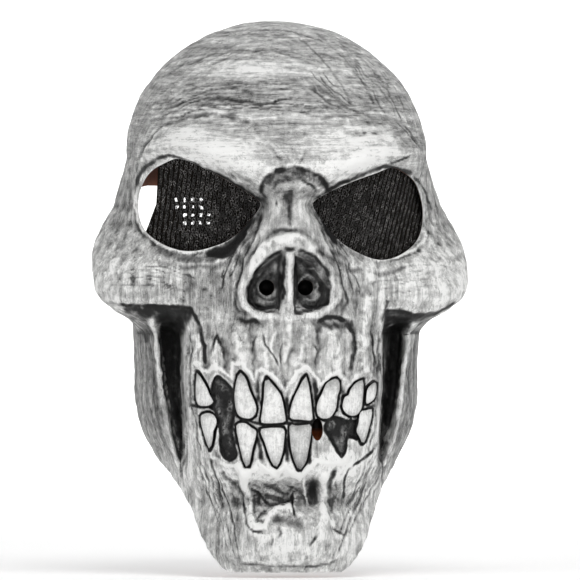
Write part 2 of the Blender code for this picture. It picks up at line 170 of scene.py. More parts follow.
def readPoints(mesh):
    flat = np.empty(len(mesh.vertices) * 3, np.float32)
    mesh.vertices.foreach_get("co", flat)
    return flat.reshape(-1, 3).astype(float)


def writePoints(mesh, points):
    mesh.vertices.foreach_set("co", np.ascontiguousarray(points, np.float32).ravel())
    mesh.update()


def readNormals(mesh):
    flat = np.empty(len(mesh.vertices) * 3, np.float32)
    mesh.vertex_normals.foreach_get("vector", flat)
    return flat.reshape(-1, 3).astype(float)


def fixNormals(obj):
    activate(obj)
    bpy.ops.object.mode_set(mode="EDIT")
    bpy.ops.mesh.select_all(action="SELECT")
    bpy.ops.mesh.normals_make_consistent(inside=False)
    bpy.ops.object.mode_set(mode="OBJECT")


def layNoise(points, size, seed, octaves=3):
    # smooth value noise over 3-D points, about -1 to 1, with lumps of about that size
    total, amount, weight = np.zeros(len(points)), 1.0, 0.0
    for octave in range(octaves):
        grid = np.random.default_rng(seed + octave).uniform(-1, 1, (32, 32, 32))
        at = points / (np.asarray(size) / 2**octave) + 1000.37
        low = np.floor(at).astype(int)
        t = at - low
        t = t * t * (3 - 2 * t)
        value = np.zeros(len(points))
        for i in (0, 1):
            for j in (0, 1):
                for k in (0, 1):
                    share = (t[:, 0] if i else 1 - t[:, 0]) * (t[:, 1] if j else 1 - t[:, 1])
                    share = share * (t[:, 2] if k else 1 - t[:, 2])
                    value += share * grid[(low[:, 0] + i) % 32, (low[:, 1] + j) % 32, (low[:, 2] + k) % 32]
        total += amount * value
        weight += amount
        amount *= 0.55
    return total / weight * 1.6


# the head form, with the sizes of the solids
headForm = {
    "height": 0.300,
    "wall": 0.003,
    "seatHeight": 0.297,
    "seatY": 0.022,
    "chinEdgeBelow": 0.014,
    "crownBase": 0.225,
    "crownShare": 0.26,
    # height, half width, front, back, squareness
    "sections": (
        (-0.014, 0.060, 0.072, 0.050, 2.3),
        (0.000, 0.062, 0.078, 0.050, 2.3),
        (0.012, 0.062, 0.080, 0.050, 2.3),
        (0.030, 0.062, 0.078, 0.052, 2.3),
        (0.048, 0.0625, 0.076, 0.055, 2.3),
        (0.060, 0.0655, 0.076, 0.060, 2.3),
        (0.075, 0.0730, 0.076, 0.066, 2.3),
        (0.090, 0.0765, 0.076, 0.072, 2.3),
        (0.110, 0.0770, 0.076, 0.078, 2.3),
        (0.130, 0.0780, 0.078, 0.083, 2.3),
        (0.150, 0.0785, 0.081, 0.088, 2.35),
        (0.175, 0.0790, 0.086, 0.093, 2.5),
        (0.200, 0.0800, 0.092, 0.097, 2.6),
        (0.225, 0.0815, 0.097, 0.098, 2.4),
        (0.300, 0.0815, 0.097, 0.098, 2.1),
    ),
    # height, y, reach, front run
    "cheekbone": (
        (0.1290, -0.056, 0.0000, 0.020),
        (0.1360, -0.056, 0.0120, 0.020),
        (0.1410, -0.056, 0.0225, 0.020),
        (0.1470, -0.055, 0.0298, 0.020),
        (0.1520, -0.052, 0.0308, 0.021),
        (0.1580, -0.046, 0.0292, 0.024),
        (0.1660, -0.038, 0.0266, 0.029),
        (0.1780, -0.022, 0.0218, 0.036),
        (0.1880, -0.013, 0.0160, 0.038),
        (0.1980, -0.012, 0.0095, 0.038),
        (0.2100, -0.012, 0.0050, 0.038),
        (0.2240, -0.012, 0.0000, 0.038),
    ),
    "cheekboneBackRun": 0.055,
    # the cut edge seen from the side, as y and height
    "edgeLine": (
        (-0.0735, 0.000),
        (-0.0655, 0.0155),
        (-0.0540, 0.0320),
        (-0.0445, 0.0430),
        (-0.0310, 0.0525),
        (-0.0120, 0.0595),
        (0.002, 0.069),
        (0.012, 0.085),
        (0.019, 0.110),
        (0.023, 0.150),
        (0.026, 0.186),
        (0.032, 0.200),
        (0.044, 0.2085),
        (0.060, 0.210),
    ),
    "edgeReach": 0.140,
}
face = {
    "eyeOutline": (
        (0.0143, 0.1972),
        (0.0160, 0.2010),
        (0.031, 0.2096),
        (0.047, 0.2168),
        (0.0572, 0.2205),
        (0.0640, 0.2186),
        (0.0716, 0.2137),
        (0.0758, 0.2060),
        (0.0775, 0.1970),
        (0.0766, 0.1880),
        (0.0730, 0.1806),
        (0.0660, 0.1750),
        (0.0575, 0.1714),
        (0.0490, 0.1710),
        (0.0400, 0.1736),
        (0.0310, 0.1780),
        (0.0237, 0.1845),
        (0.0180, 0.1915),
    ),
    "eyeLift": 0.0024,
    "noseHollow": (
        (0.1375, 0.0000),
        (0.1405, 0.0150),
        (0.1450, 0.0205),
        (0.1500, 0.0222),
        (0.1550, 0.0208),
        (0.1600, 0.0172),
        (0.1660, 0.0120),
        (0.1705, 0.0070),
        (0.1735, 0.0000),
    ),
    "noseHollowDepth": 0.011,
    "nostril": (0.0105, 0.1535, 0.0043),
    "chinRidges": (
        ((-0.0222, 0.051), (-0.0225, 0.032), (-0.0195, 0.023), (-0.0130, 0.0195)),
        ((0.0195, 0.050), (0.0195, 0.034), (0.0185, 0.020)),
    ),
    # x, height, radius across, radius up, forward
    "swells": (
        (0.000, 0.018, 0.0360, 0.0200, 0.0115),
        (0.000, 0.044, 0.0240, 0.0090, -0.0040),
        (0.001, 0.041, 0.0120, 0.0080, -0.0022),
        (0.000, 0.150, 0.0340, 0.0300, 0.0075),
        (0.000, 0.179, 0.0145, 0.0160, 0.0095),
        (0.000, 0.2035, 0.0160, 0.0055, -0.0045),
        (0.000, 0.218, 0.0180, 0.0110, 0.0045),
        (0.000, 0.262, 0.0600, 0.0160, 0.0030),
    ),
    "browLine": ((0.006, 0.211), (0.030, 0.2205), (0.056, 0.2315), (0.078, 0.2280)),
    # height, groove x, groove half width, ridge x
    "jawLines": (
        (0.055, 0.0530, 0.0005, 0.0560),
        (0.075, 0.0560, 0.0030, 0.0610),
        (0.100, 0.0590, 0.0045, 0.0655),
        (0.135, 0.0605, 0.0058, 0.0680),
    ),
    "archHalfWidth": 0.0545,
    "archForward": 0.017,
    "toothGap": (0.0161, 0.0772, 0.0031, 0.0060),
}


def eyeOutline(side):
    points = []
    for x, height in face["eyeOutline"]:
        lift = face["eyeLift"] * float(rise(0.014, 0.055, x))
        points.append((side * x, height - side * lift))
    return points


def cheekboneReach(y, height, inset):
    rows = np.array(headForm["cheekbone"])
    middle = np.interp(height, rows[:, 0], rows[:, 1])
    lower = np.interp(height - inset, rows[:, 0], rows[:, 2])
    upper = np.interp(height + inset, rows[:, 0], rows[:, 2])
    ahead = rise(middle - np.interp(height, rows[:, 0], rows[:, 3]), middle, y)
    behind = rise(middle + headForm["cheekboneBackRun"], middle + 0.004, y)
    return np.minimum(lower, upper) * ahead * behind


def eyeSocket(x, height, side, inset):
    distance = outlineDistance(x, height, eyeOutline(side))
    depth = 0.0045 + 0.0055 * rise(0.060, 0.020, side * x)
    return depth * rise(0.009 + inset, -0.002, distance)


def noseHollow(x, height, inset):
    half = np.maximum(along(face["noseHollow"], 1, height), 0) + inset
    ends = rise(0.1365 - inset, 0.1425 - inset, height) * rise(0.1745 + inset, 0.1685 + inset, height)
    hollow = rise(0.0020, -0.0035, np.abs(x) - half) * ends
    if inset:
        return face["noseHollowDepth"] * hollow
    septum = rise(0.0044, 0.0022, np.abs(x))
    return face["noseHollowDepth"] * hollow * (1 - 0.75 * septum)


def noseRim(x, height):
    table = face["noseHollow"]
    line = [(half, h) for h, half in table] + [(-half, h) for h, half in table[-2::-1]]
    distance = lineDistance(x, height, line)
    return 0.0030 * np.exp(-(((distance - 0.0035) / 0.0032) ** 2)) * rise(0.139, 0.150, height)


def jawLine(column, height):
    rows = np.array(face["jawLines"])
    return np.interp(height, rows[:, 0], rows[:, column])


def faceForward(x, height, inset):
    arch = np.sqrt(1 - np.clip(np.abs(x) / (face["archHalfWidth"] - inset), 0, 1) ** 2.6)
    forward = face["archForward"] * arch * rise(0.036, 0.056, height) * rise(0.160, 0.116, height)
    for atX, atHeight, across, up, amount in face["swells"]:
        forward += amount * bump(x, height, atX, atHeight, across, up)
    for side in (-1, 1):
        lift = -side * face["eyeLift"]
        brow = [(side * a, h + lift * (a > 0.014)) for a, h in face["browLine"]]
        forward += 0.0080 * np.exp(-((lineDistance(x, height, brow) / 0.0105) ** 2))
        forward += 0.0055 * bump(x, height, side * 0.062, 0.160 + lift, 0.026, 0.013)
        ends = rise(0.052, 0.070, height) * rise(0.142, 0.132, height)
        forward += 0.0030 * np.exp(-(((side * x - jawLine(3, height)) / 0.0035) ** 2)) * ends
        forward -= eyeSocket(x, height, side, inset)
        half = jawLine(2, height) + inset
        reach = rise(half + 0.0028, half - 0.0012, np.abs(side * x - jawLine(1, height)))
        ends = rise(0.052, 0.066, height) * rise(0.140 + inset, 0.130 + inset, height)
        forward -= 0.016 * reach * ends
    for ridge in face["chinRidges"]:
        forward += 0.0024 * np.exp(-((lineDistance(x, height, ridge) / 0.0032) ** 2))
    return forward + noseRim(x, height) - noseHollow(x, height, inset)


def evenTable(samples, steps):
    # samples at which the running sum of steps grows evenly
    total = np.concatenate(([0], np.cumsum(steps)))
    return total / total[-1], samples


def columnTable():
    turn = np.linspace(0, math.pi, 4000)
    power = 2 / 2.35
    x = 0.080 * np.abs(np.sin(turn)) ** power
    y = np.sign(np.cos(turn)) * 0.096 * np.abs(np.cos(turn)) ** power
    weight = 0.22 + 0.33 * rise(-0.03, 0.02, y) + 0.45 * rise(0.066, 0.050, x) * (y > 0)
    steps = np.hypot(np.diff(x), np.diff(y)) * weight[1:]
    return evenTable(turn, steps)


def rowTable():
    down = np.linspace(0, 1, 4000)
    height, _ = heightAndClosing(down, 0)
    tilt = np.clip(down / headForm["crownShare"], 0, 1) * math.pi / 2
    out = 0.095 * np.sin(tilt)
    weight = np.interp(
        height,
        (-0.02, 0.0, 0.03, 0.050, 0.056, 0.108, 0.114, 0.130, 0.136, 0.225, 0.270, 0.300),
        (0.15, 0.70, 0.80, 0.90, 1.25, 1.25, 0.90, 0.85, 0.95, 0.95, 0.75, 0.40),
    )
    steps = np.hypot(np.diff(height), np.diff(out)) * weight[1:]
    return evenTable(down, steps)


def heightAndClosing(down, inset):
    share, base = headForm["crownShare"], headForm["crownBase"]
    tilt = np.clip(down / share, 0, 1) * math.pi / 2
    fall = np.clip((down - share) / (1 - share), 0, 1)
    height = base + (headForm["height"] - base - inset) * np.cos(tilt)
    height = height - fall * (base + headForm["chinEdgeBelow"] + inset)
    closing = np.where(fall > 0, np.sqrt(np.clip((1 - fall) / 0.03, 0, 1)), np.sin(tilt))
    return height, closing


def headPoints(directions, inset, even):
    # moves the points of a unit sphere onto the head form, drawn in by inset
    turn = np.arctan2(directions[:, 0], -directions[:, 1])
    down = np.arccos(np.clip(directions[:, 2], -1, 1)) / math.pi
    if even:
        turn = np.sign(turn) * np.interp(np.abs(turn) / math.pi, *columnTable())
        down = np.interp(down, *rowTable())
    else:
        turn = turn - 0.42 * np.sin(turn)
    height, closing = heightAndClosing(down, inset)
    sections = headForm["sections"]
    halfWidth = (along(sections, 1, height) - inset) * closing
    top = headForm["height"] - headForm["crownBase"]
    lean = headForm["seatY"] * np.clip((height - headForm["crownBase"]) / top, 0, 1)
    front = (along(sections, 2, height) - inset) * closing
    back = (along(sections, 3, height) - inset) * closing
    power = 2 / along(sections, 4, height)
    across, ahead = np.sin(turn), np.cos(turn)
    x = halfWidth * np.sign(across) * np.abs(across) ** power
    reach = np.sign(ahead) * np.abs(ahead) ** power
    y = np.where(ahead > 0, -front * reach, -back * reach)
    x = x + np.sign(x) * cheekboneReach(y, height, inset) * rise(0.024, 0.044, np.abs(x))
    facing = rise(0.15, 0.55, np.clip(reach, 0, 1)) * closing
    y = y + lean - faceForward(x, height, inset) * facing
    points = np.column_stack((x, y - headForm["seatY"], height - headForm["seatHeight"]))
    u, v = inPicture(points)
    points[:, 1] += deepHollows(u, v, inset / picture["pixelSize"]) * (facing > 0.5)
    return points


# fine shapes, placed in picture pixels. Amounts in millimetres, forward is positive.
# dark is the black wash: 1 is black, and below 0 is dry-brushed light
hollows = (
    # depth, soft edge in pixels, outline
    (2.6, 3.0, [
        (216, 375), (229, 384), (234, 396), (236, 412), (233, 428), (236, 446), (238, 456), (231, 461),
        (222, 456), (218, 440), (218, 424), (214, 411), (209, 407), (214, 402), (211, 393),
    ]),
    (3.2, 3.0, [
        (327, 420), (336, 416), (348, 419), (358, 419), (356, 431), (358, 440),
        (349, 438), (347, 449), (343, 458), (336, 452), (330, 440), (324, 428),
    ]),
)
toothOutlines = {
    "upperPremolarLeft": [
        (197.1, 371.6), (201, 377.2), (206.7, 387), (210.2, 395.4), (213.7, 401.7), (210.2, 405.7),
        (203.2, 406.6), (198.2, 405.2), (195.7, 398.9), (195.4, 386.3), (196.1, 376.5),
    ],
    "upperCanineLeft": [
        (240.3, 371.6), (245.9, 377.9), (249.5, 389.1), (254.4, 400.3),
        (256.9, 408.8), (255.1, 415.8), (250.2, 419.3), (243.8, 418.9),
        (238.2, 415.8), (235.4, 408.8), (234, 396.1), (235.4, 383.5), (237.5, 375.1),
    ],
    "upperIncisorLeft": [
        (266.3, 377.2), (272.6, 383.5), (280.3, 393.3), (283.1, 401.7), (285.2, 413),
        (286.2, 421.4), (283.8, 423.1), (271.2, 424.2), (262.8, 423.9),
        (260.3, 421.4), (261.8, 410.2), (263.5, 396.1), (264.2, 383.5),
    ],
    "upperIncisorRight": [
        (306.3, 375.1), (309.1, 384.9), (311.2, 398.9), (312.6, 413), (313, 420),
        (310.5, 421.4), (299.3, 420.3), (292.2, 420), (289.4, 417.9),
        (290.1, 408.8), (293.7, 397.5), (299.3, 386.3), (303.5, 377.9),
    ],
    "upperCanineRight": [
        (336.4, 377.9), (339.7, 380.7), (340, 389.1), (337.9, 396.1), (337.1, 403.1),
        (335.7, 410.2), (330.8, 417.9), (324.5, 419.7), (318.2, 417.2), (316.1, 410.2),
        (317.5, 401.7), (321.7, 393.3), (325.9, 383.5), (331.5, 379.3),
    ],
    "upperPremolarRight": [
        (363.1, 379.3), (363.8, 389.1), (363.1, 398.9), (361.7, 408.8), (357.5, 415.1), (351.2, 416.5),
        (344.9, 413), (342.1, 406.6), (344.2, 397.5), (348.4, 394.7), (350.5, 389.1), (355.4, 382.8),
    ],
    "upperMolarRight": [
        (374.3, 382.1), (376.4, 383.5), (376.4, 391.9), (374.3, 398.9),
        (369.4, 403.1), (366.1, 403.8), (366.1, 396.1), (368, 387.7),
    ],
    "lowerPremolarLeft": [
        (200.3, 416.5), (202.5, 413.7), (208.1, 412.3), (213.7, 414.4), (216.8, 420),
        (216.2, 425.6), (213.7, 431.2), (213, 438.2), (211.6, 445.9), (209.7, 450.1),
        (206.7, 443.8), (203.2, 432.6), (201, 424.2),
    ],
    "lowerCanineLeft": [
        (236.1, 424.2), (240.3, 422.1), (245.9, 422.8), (251.6, 427),
        (256.5, 430.5), (255.8, 438.2), (253, 448), (250.9, 459.3), (248.8, 467),
        (245.2, 467), (241.7, 456.4), (238.2, 441), (236.4, 431.2),
    ],
    "lowerIncisorLeft": [
        (260, 429.1), (264.2, 427.7), (275.4, 427), (283.1, 427.7), (285.2, 431.2),
        (284.5, 441), (283.1, 452.3), (279.6, 463.5), (276.8, 467.7),
        (272.6, 464.9), (268.4, 455.1), (264.2, 442.4), (260.7, 434),
    ],
    "lowerIncisorRight": [
        (289.4, 424.2), (296.5, 424.9), (303.5, 424.2), (311.2, 423.9),
        (311.9, 429.8), (310.5, 441), (308.4, 452.3), (306.3, 462.1), (300.7, 470.5),
        (297.9, 469.8), (293.7, 460.7), (290.8, 449.4), (289.4, 436.8),
    ],
    "lowerPremolarRight": [
        (360.3, 411.6), (366.6, 409.5), (372.2, 408.8), (371.5, 418.6), (368.7, 429.8),
        (365.2, 441), (362.4, 443.8), (358.9, 436.8), (356.1, 431.2), (358.2, 422.8),
    ],
}
# amount, radius, dark, line
strokes = (
    # forehead wrinkles
    (-0.50, 1.3, 0.50, [(223, 97), (240, 101), (262, 104), (281, 101), (294, 98)]),
    (-0.45, 1.1, 0.70, [(248, 104), (255, 105), (262, 104)]),
    (-0.45, 1.1, 0.70, [(264, 102), (273, 102), (282, 100)]),
    (-0.30, 1.4, 0.30, [(228, 88), (250, 92), (275, 90), (300, 86)]),
    (-0.30, 1.4, 0.28, [(180, 92), (205, 85), (232, 82), (262, 84)]),
    (-0.35, 1.6, 0.32, [(170, 108), (196, 99), (224, 96)]),
    (-0.35, 2.2, 0.32, [(312, 30), (335, 48), (358, 76), (376, 106)]),
    (-0.30, 1.6, 0.28, [(296, 34), (318, 54), (342, 84), (352, 104)]),
    (-0.35, 2.2, 0.32, [(340, 38), (366, 62), (386, 92)]),
    (-0.25, 1.8, 0.30, [(214, 44), (240, 36), (270, 34), (300, 40)]),
    (-0.25, 1.8, 0.28, [(196, 60), (226, 52), (262, 50), (300, 56)]),
    (-0.45, 2.6, 0.38, [(300, 112), (322, 118), (346, 116), (372, 110), (392, 112)]),
    (-0.45, 2.8, 0.36, [(160, 128), (182, 118), (206, 114), (230, 117), (252, 124)]),
    # between the brows
    (-0.50, 2.6, 0.20, [(268, 146), (276, 156), (284, 164)]),
    (-0.50, 2.6, 0.20, [(310, 148), (304, 157), (297, 165)]),
    # hood over the nose root
    (-1.00, 3.0, 0.90, [
        (262, 190), (266, 179), (276, 171), (292, 168), (308, 171), (320, 177), (331, 191),
    ]),
    (0.90, 1.6, -0.40, [(271, 184), (277, 177), (286, 174)]),
    (0.80, 1.4, -0.40, [(296, 174), (308, 178), (316, 184)]),
    (-0.50, 1.5, 0.70, [(270, 191), (276, 184), (286, 181), (296, 182)]),
    (-0.50, 1.5, 0.70, [(300, 179), (310, 184), (318, 192)]),
    # nasal bones
    (-0.60, 3.4, 0.26, [(290, 192), (291, 204), (289, 222)]),
    (-0.50, 1.0, 0.80, [(277, 198), (277.5, 208)]),
    (-0.60, 2.6, 0.42, [(270, 231), (284, 229), (300, 231)]),
    (-0.40, 2.2, 1.00, [(284, 246), (290, 249), (296, 247)]),
    (-0.40, 1.2, 0.70, [(284, 227), (290, 230), (296, 229)]),
    (1.90, 4.2, -1.00, [
        (261, 252), (266, 245), (275, 240), (286, 238), (295, 236), (304, 240), (312, 248),
    ]),
    (-0.50, 1.2, 0.60, [(262, 212), (254, 236), (243, 262), (236, 290)]),
    (-0.45, 1.2, 0.50, [(257, 214), (248, 236), (238, 256), (229, 280)]),
    (-0.45, 1.2, 0.50, [(316, 212), (325, 236), (337, 262), (345, 292)]),
    (-0.45, 1.2, 0.45, [(321, 214), (331, 236), (343, 258), (352, 280)]),
    (-0.40, 5.0, 0.42, [(262, 200), (258, 218), (250, 240), (240, 262)]),
    (-0.40, 5.0, 0.36, [(317, 204), (322, 222), (332, 244), (340, 262)]),
    # ring round the nose hollow
    (1.20, 4.2, -0.25, [(262, 254), (250, 268), (242, 288), (244, 304), (255, 317), (282, 312)]),
    (1.20, 4.2, -0.25, [
        (311, 252), (326, 264), (337, 281), (338, 297), (330, 310), (314, 315), (294, 309),
    ]),
    (0.50, 1.8, -0.90, [(262, 250), (256, 258), (252, 266)]),
    (0.50, 1.8, -0.90, [(243, 300), (246, 309), (254, 315)]),
    (0.50, 1.8, -0.80, [(336, 284), (337, 297), (331, 307)]),
    (-0.50, 2.2, 0.60, [(236, 290), (236, 304), (242, 316)]),
    (-0.50, 2.2, 0.50, [(346, 288), (347, 302), (342, 312)]),
    # septum, the black grooves beside it, and the nostril rings
    (0.80, 2.4, -0.80, [(290, 254), (290, 303)]),
    (-0.60, 1.7, 1.00, [(284.5, 252), (283.5, 280), (284, 303)]),
    (-0.60, 1.7, 1.00, [(295.5, 252), (296.5, 280), (296, 303)]),
    (-0.50, 2.0, 1.00, [
        (286, 250), (270, 256), (257, 270), (249, 288), (251, 303), (262, 309), (280, 304),
    ]),
    (-0.50, 2.0, 1.00, [
        (296, 249), (312, 255), (325, 270), (331, 287), (327, 303), (313, 308), (298, 303),
    ]),
    (0.90, 1.7, -0.75, [(258.5, 284), (260, 293), (267, 298), (275, 295), (278, 287)]),
    (0.90, 1.7, -0.75, [(299, 283), (302, 277), (309, 275), (316, 279), (318, 286), (314, 294)]),
    (0.40, 1.2, -0.70, [(256, 296), (266, 302), (278, 299)]),
    (0.40, 1.2, -0.60, [(255, 280), (262, 270), (272, 264)]),
    (0.40, 1.2, -0.60, [(302, 300), (314, 300), (324, 290)]),
    (0.40, 1.2, -0.50, [(304, 266), (316, 270), (323, 280)]),
    # sockets: black crescent towards the nose, with a pale lip along the net
    (-0.50, 5.0, 1.00, [(255, 206), (249, 222), (238, 238), (226, 250), (210, 254)]),
    (0.90, 1.5, -0.85, [
        (249, 212), (243, 224), (229, 239), (210, 249), (190, 252), (170, 249), (156, 243), (148, 235),
    ]),
    (0.60, 1.3, -0.80, [(146, 236), (138, 222), (135, 204), (138, 186), (146, 172)]),
    (0.80, 1.5, -0.45, [(337, 239), (355, 249), (368, 256), (381, 259)]),
    (0.90, 1.5, -0.90, [(381, 259), (395, 258), (407, 254), (416, 249), (424, 240), (426, 228)]),
    (-0.20, 2.1, 1.00, [
        (262, 202), (248, 192), (230, 181), (204, 168), (180, 158),
        (168, 156), (154, 160), (145, 167), (139, 177), (136, 188),
    ]),
    (-0.20, 2.0, 1.00, [
        (315, 201), (331, 188), (352, 179), (377, 169), (388, 167), (400, 169), (412, 175),
    ]),
    (-0.20, 1.2, 0.85, [(412, 175), (420, 182), (427, 195), (430, 212)]),
    (-0.40, 1.6, 0.90, [(416, 251), (424, 249)]),
    (-0.50, 1.2, 0.75, [(392, 164), (400, 160), (412, 154)]),
    (-0.40, 4.0, 0.40, [(160, 262), (190, 268), (220, 266), (240, 256)]),
    (-0.40, 4.0, 0.36, [(330, 258), (352, 270), (384, 274), (412, 266)]),
    # under the cheekbones
    (-1.00, 2.0, 1.00, [
        (118, 303), (128, 306), (152, 306), (172, 307), (190, 308),
        (196, 317), (200, 330), (204, 346), (205, 366),
    ]),
    (-1.00, 2.0, 0.95, [(383, 311), (397, 311), (425, 316), (440, 312), (456, 303)]),
    (1.40, 3.4, -0.85, [(151, 320), (157, 338), (160, 360), (163, 385), (170, 420), (180, 450)]),
    (1.40, 3.2, -0.85, [(415, 326), (410, 345), (403, 370), (400, 392), (396, 410), (387, 440)]),
    (1.00, 2.2, -0.60, [(405, 335), (406, 337)]),
    (1.20, 5.5, -0.75, [(367, 300), (364, 318), (363, 342)]),
    (-1.20, 5.0, 0.80, [(170, 318), (171, 345), (174, 375), (175, 405), (179, 438)]),
    (-1.20, 5.0, 0.80, [(395, 322), (393, 350), (391, 385), (389, 425)]),
    (-1.20, 4.5, 1.00, [(128, 309), (148, 310), (170, 312), (188, 312)]),
    (-0.30, 3.6, 0.50, [(130, 312), (140, 322), (146, 340)]),
    (-0.30, 5.0, 1.00, [(140, 312), (160, 316), (184, 318)]),
    (-0.30, 4.6, 1.00, [(388, 318), (404, 320), (420, 317)]),
    (-0.60, 1.1, 0.80, [(150, 314), (156, 322), (160, 332)]),
    # lighter strip at the lower end of the right jaw groove: dry-brushed light that is partly painted light,
    # lifting the shade there as well as the wash
    (0.80, 3.0, -0.60, [(387, 438), (384, 450), (382, 464)]),
    (-0.30, 2.6, -0.30, [(175, 330), (176, 370), (178, 410)]),
    (-0.30, 2.6, -0.30, [(393, 340), (392, 370), (389, 400)]),
    # black crevices under the nose
    (-1.00, 2.4, 1.00, [(316, 323), (325, 318), (338, 317), (346, 322)]),
    (-0.60, 2.4, 0.60, [(344, 321), (350, 327), (353, 336)]),
    (-0.50, 4.5, 0.50, [(314, 322), (330, 326), (346, 326)]),
    (-0.80, 2.6, 0.85, [(238, 317), (246, 322), (254, 320), (262, 325)]),
    (-0.50, 5.0, 0.45, [(234, 310), (244, 322), (258, 328)]),
    # between the roots of the upper teeth
    (-1.00, 4.0, 0.50, [(351, 324), (354, 340), (354, 356), (352, 368)]),
    (-0.60, 1.5, 0.95, [(347, 324), (353, 334), (355.5, 348), (353, 366)]),
    (-0.90, 4.0, 0.42, [(318, 330), (320, 345), (317, 362)]),
    (-0.50, 1.2, 0.65, [(313, 343), (318, 352), (315.5, 363)]),
    (-0.60, 1.2, 0.80, [(212, 352), (214, 342), (217, 336), (221, 344), (223, 354), (224, 364)]),
    (-0.60, 3.4, 0.45, [(222, 340), (225, 354), (226, 364)]),
    (-0.60, 1.1, 0.65, [(262, 332), (266, 345), (274, 355), (279, 366)]),
    (-0.50, 1.1, 0.50, [(257, 334), (254, 344), (252, 354)]),
    (-0.50, 1.1, 0.50, [(284, 342), (280, 354), (282, 366)]),
    (-0.60, 3.6, 0.34, [(250, 330), (252, 346), (254, 358)]),
    (-0.60, 3.6, 0.34, [(290, 334), (290, 350), (287, 364)]),
    (-0.70, 1.4, 0.70, [(371, 330), (373, 352), (375, 366)]),
    (-0.60, 1.2, 0.60, [(190, 330), (192, 356), (190, 380), (191, 404)]),
    (-0.60, 1.3, 0.85, [(190, 404), (196, 407), (203, 409)]),
    (-0.60, 1.3, 0.85, [(362, 404), (369, 407), (378, 406)]),
    # roots
    (1.50, 5.0, -0.45, [(196, 364), (197, 348), (198, 336)]),
    (1.20, 5.0, -0.45, [(215, 364), (214, 350), (212, 344)]),
    (1.60, 6.0, -0.40, [(240, 362), (238, 345), (238, 330)]),
    (1.50, 6.0, -0.25, [(266, 366), (262, 348), (262, 334)]),
    (1.60, 6.5, -0.35, [(300, 362), (304, 344), (305, 328)]),
    (1.50, 6.0, -0.40, [(336, 366), (335, 348), (333, 334)]),
    (1.50, 6.0, -0.50, [(364, 366), (362, 348), (361, 340)]),
    (0.80, 2.4, -0.80, [(289, 322), (289, 342), (285, 366)]),
    (0.70, 2.0, -0.60, [(276, 330), (271, 346), (274, 360)]),
    # gum edge, white above the black
    (0.80, 2.3, -0.95, [
        (192, 366), (197, 363), (203, 371), (208, 372), (213, 367), (222, 369), (232, 378),
        (233, 364), (241, 364), (249, 371), (254, 382), (257, 372), (262, 370), (272, 374),
        (285, 390), (297, 374), (307, 366), (314, 374), (318, 386), (328, 378), (338, 371),
        (344, 378), (346, 388), (356, 376), (366, 370), (371, 378),
    ]),
    (0.80, 2.3, -0.75, [
        (206, 455), (214, 459), (222, 464), (236, 466), (243, 474), (252, 472),
        (259, 462), (267, 472), (277, 476), (285, 466), (290, 472), (300, 479),
        (309, 470), (316, 460), (328, 464), (342, 464), (352, 452),
    ]),
    # black wedges between the teeth
    (-0.60, 2.4, 0.90, [(256, 378), (259, 392), (258, 404)]),
    (-0.60, 1.8, 0.95, [(287, 394), (287.5, 404), (287, 416)]),
    (-0.60, 2.2, 0.90, [(313, 380), (317, 392), (315, 404)]),
    (-0.60, 2.6, 0.85, [(342, 386), (343, 396), (340, 410)]),
    (-0.60, 2.6, 0.80, [(258, 434), (260, 448), (262, 462)]),
    (-0.60, 2.2, 0.80, [(287, 434), (287, 450), (287, 464)]),
    (-0.60, 2.0, 0.85, [(312, 444), (311, 454), (309, 466)]),
    (-0.50, 1.8, 1.00, [
        (238, 420), (250, 421.5), (262, 425), (275, 425.5), (287, 424), (300, 422), (312, 422),
    ]),
    # jaw and chin
    (-0.80, 1.5, 1.00, [(383, 424), (378, 441), (370, 452), (361, 461), (352, 467)]),
    (-0.60, 1.5, 0.75, [(350, 466), (345, 475), (344, 486), (343, 500)]),
    (-0.90, 2.8, 0.95, [(337.5, 468), (330, 478), (328, 491)]),
    (-0.50, 1.2, 0.75, [(335, 478), (336.5, 490)]),
    (-0.60, 2.6, 0.75, [(219, 471), (228, 478), (237, 486)]),
    (-0.50, 1.3, 0.75, [(237, 484), (243, 496), (244.5, 511), (247.5, 525), (254, 532), (264, 533.5)]),
    (-0.50, 1.4, 0.60, [(208, 452), (212, 466), (217, 480), (221, 496)]),
    (1.70, 3.9, -0.95, [
        (240, 466), (244, 482), (249, 499), (249, 515), (255, 526),
        (264, 526), (269, 515), (276, 508), (285, 506), (291, 508),
    ]),
    (0.90, 2.2, -0.45, [(262, 489), (275, 494), (285, 497)]),
    (-1.00, 1.5, 1.00, [
        (252, 490), (258, 493), (266, 502), (272, 505), (280, 504), (291, 500), (294, 492),
    ]),
    (-0.70, 1.4, 0.75, [(257, 493), (260, 504), (263, 508)]),
    (-0.60, 0.9, 0.80, [(256, 520), (262, 514), (269, 507.5)]),
    (-1.10, 1.3, 1.00, [(294, 493), (292.5, 504), (294.5, 518)]),
    (0.70, 1.2, -0.60, [(305, 477), (304, 493), (308, 506)]),
    (1.50, 4.0, -0.90, [(324.5, 477), (322.5, 493), (323.5, 510), (330, 524)]),
    (-0.50, 1.2, 0.55, [(330, 528), (339, 533), (348, 537)]),
    (-0.50, 1.6, 0.60, [(286, 486), (292, 488), (288, 493)]),
    (-0.40, 1.5, 0.50, [(278, 524), (281, 532), (277, 540)]),
    (-0.40, 1.5, 0.55, [(318, 534), (313, 541), (309, 547)]),
    (-0.40, 1.3, 0.55, [(273, 536), (272.5, 548)]),
    (-0.30, 1.6, 0.45, [(240, 563), (262, 565), (290, 566), (318, 566), (340, 560)]),
    (-0.40, 5.0, 0.40, [(262, 514), (280, 520), (300, 526)]),
)
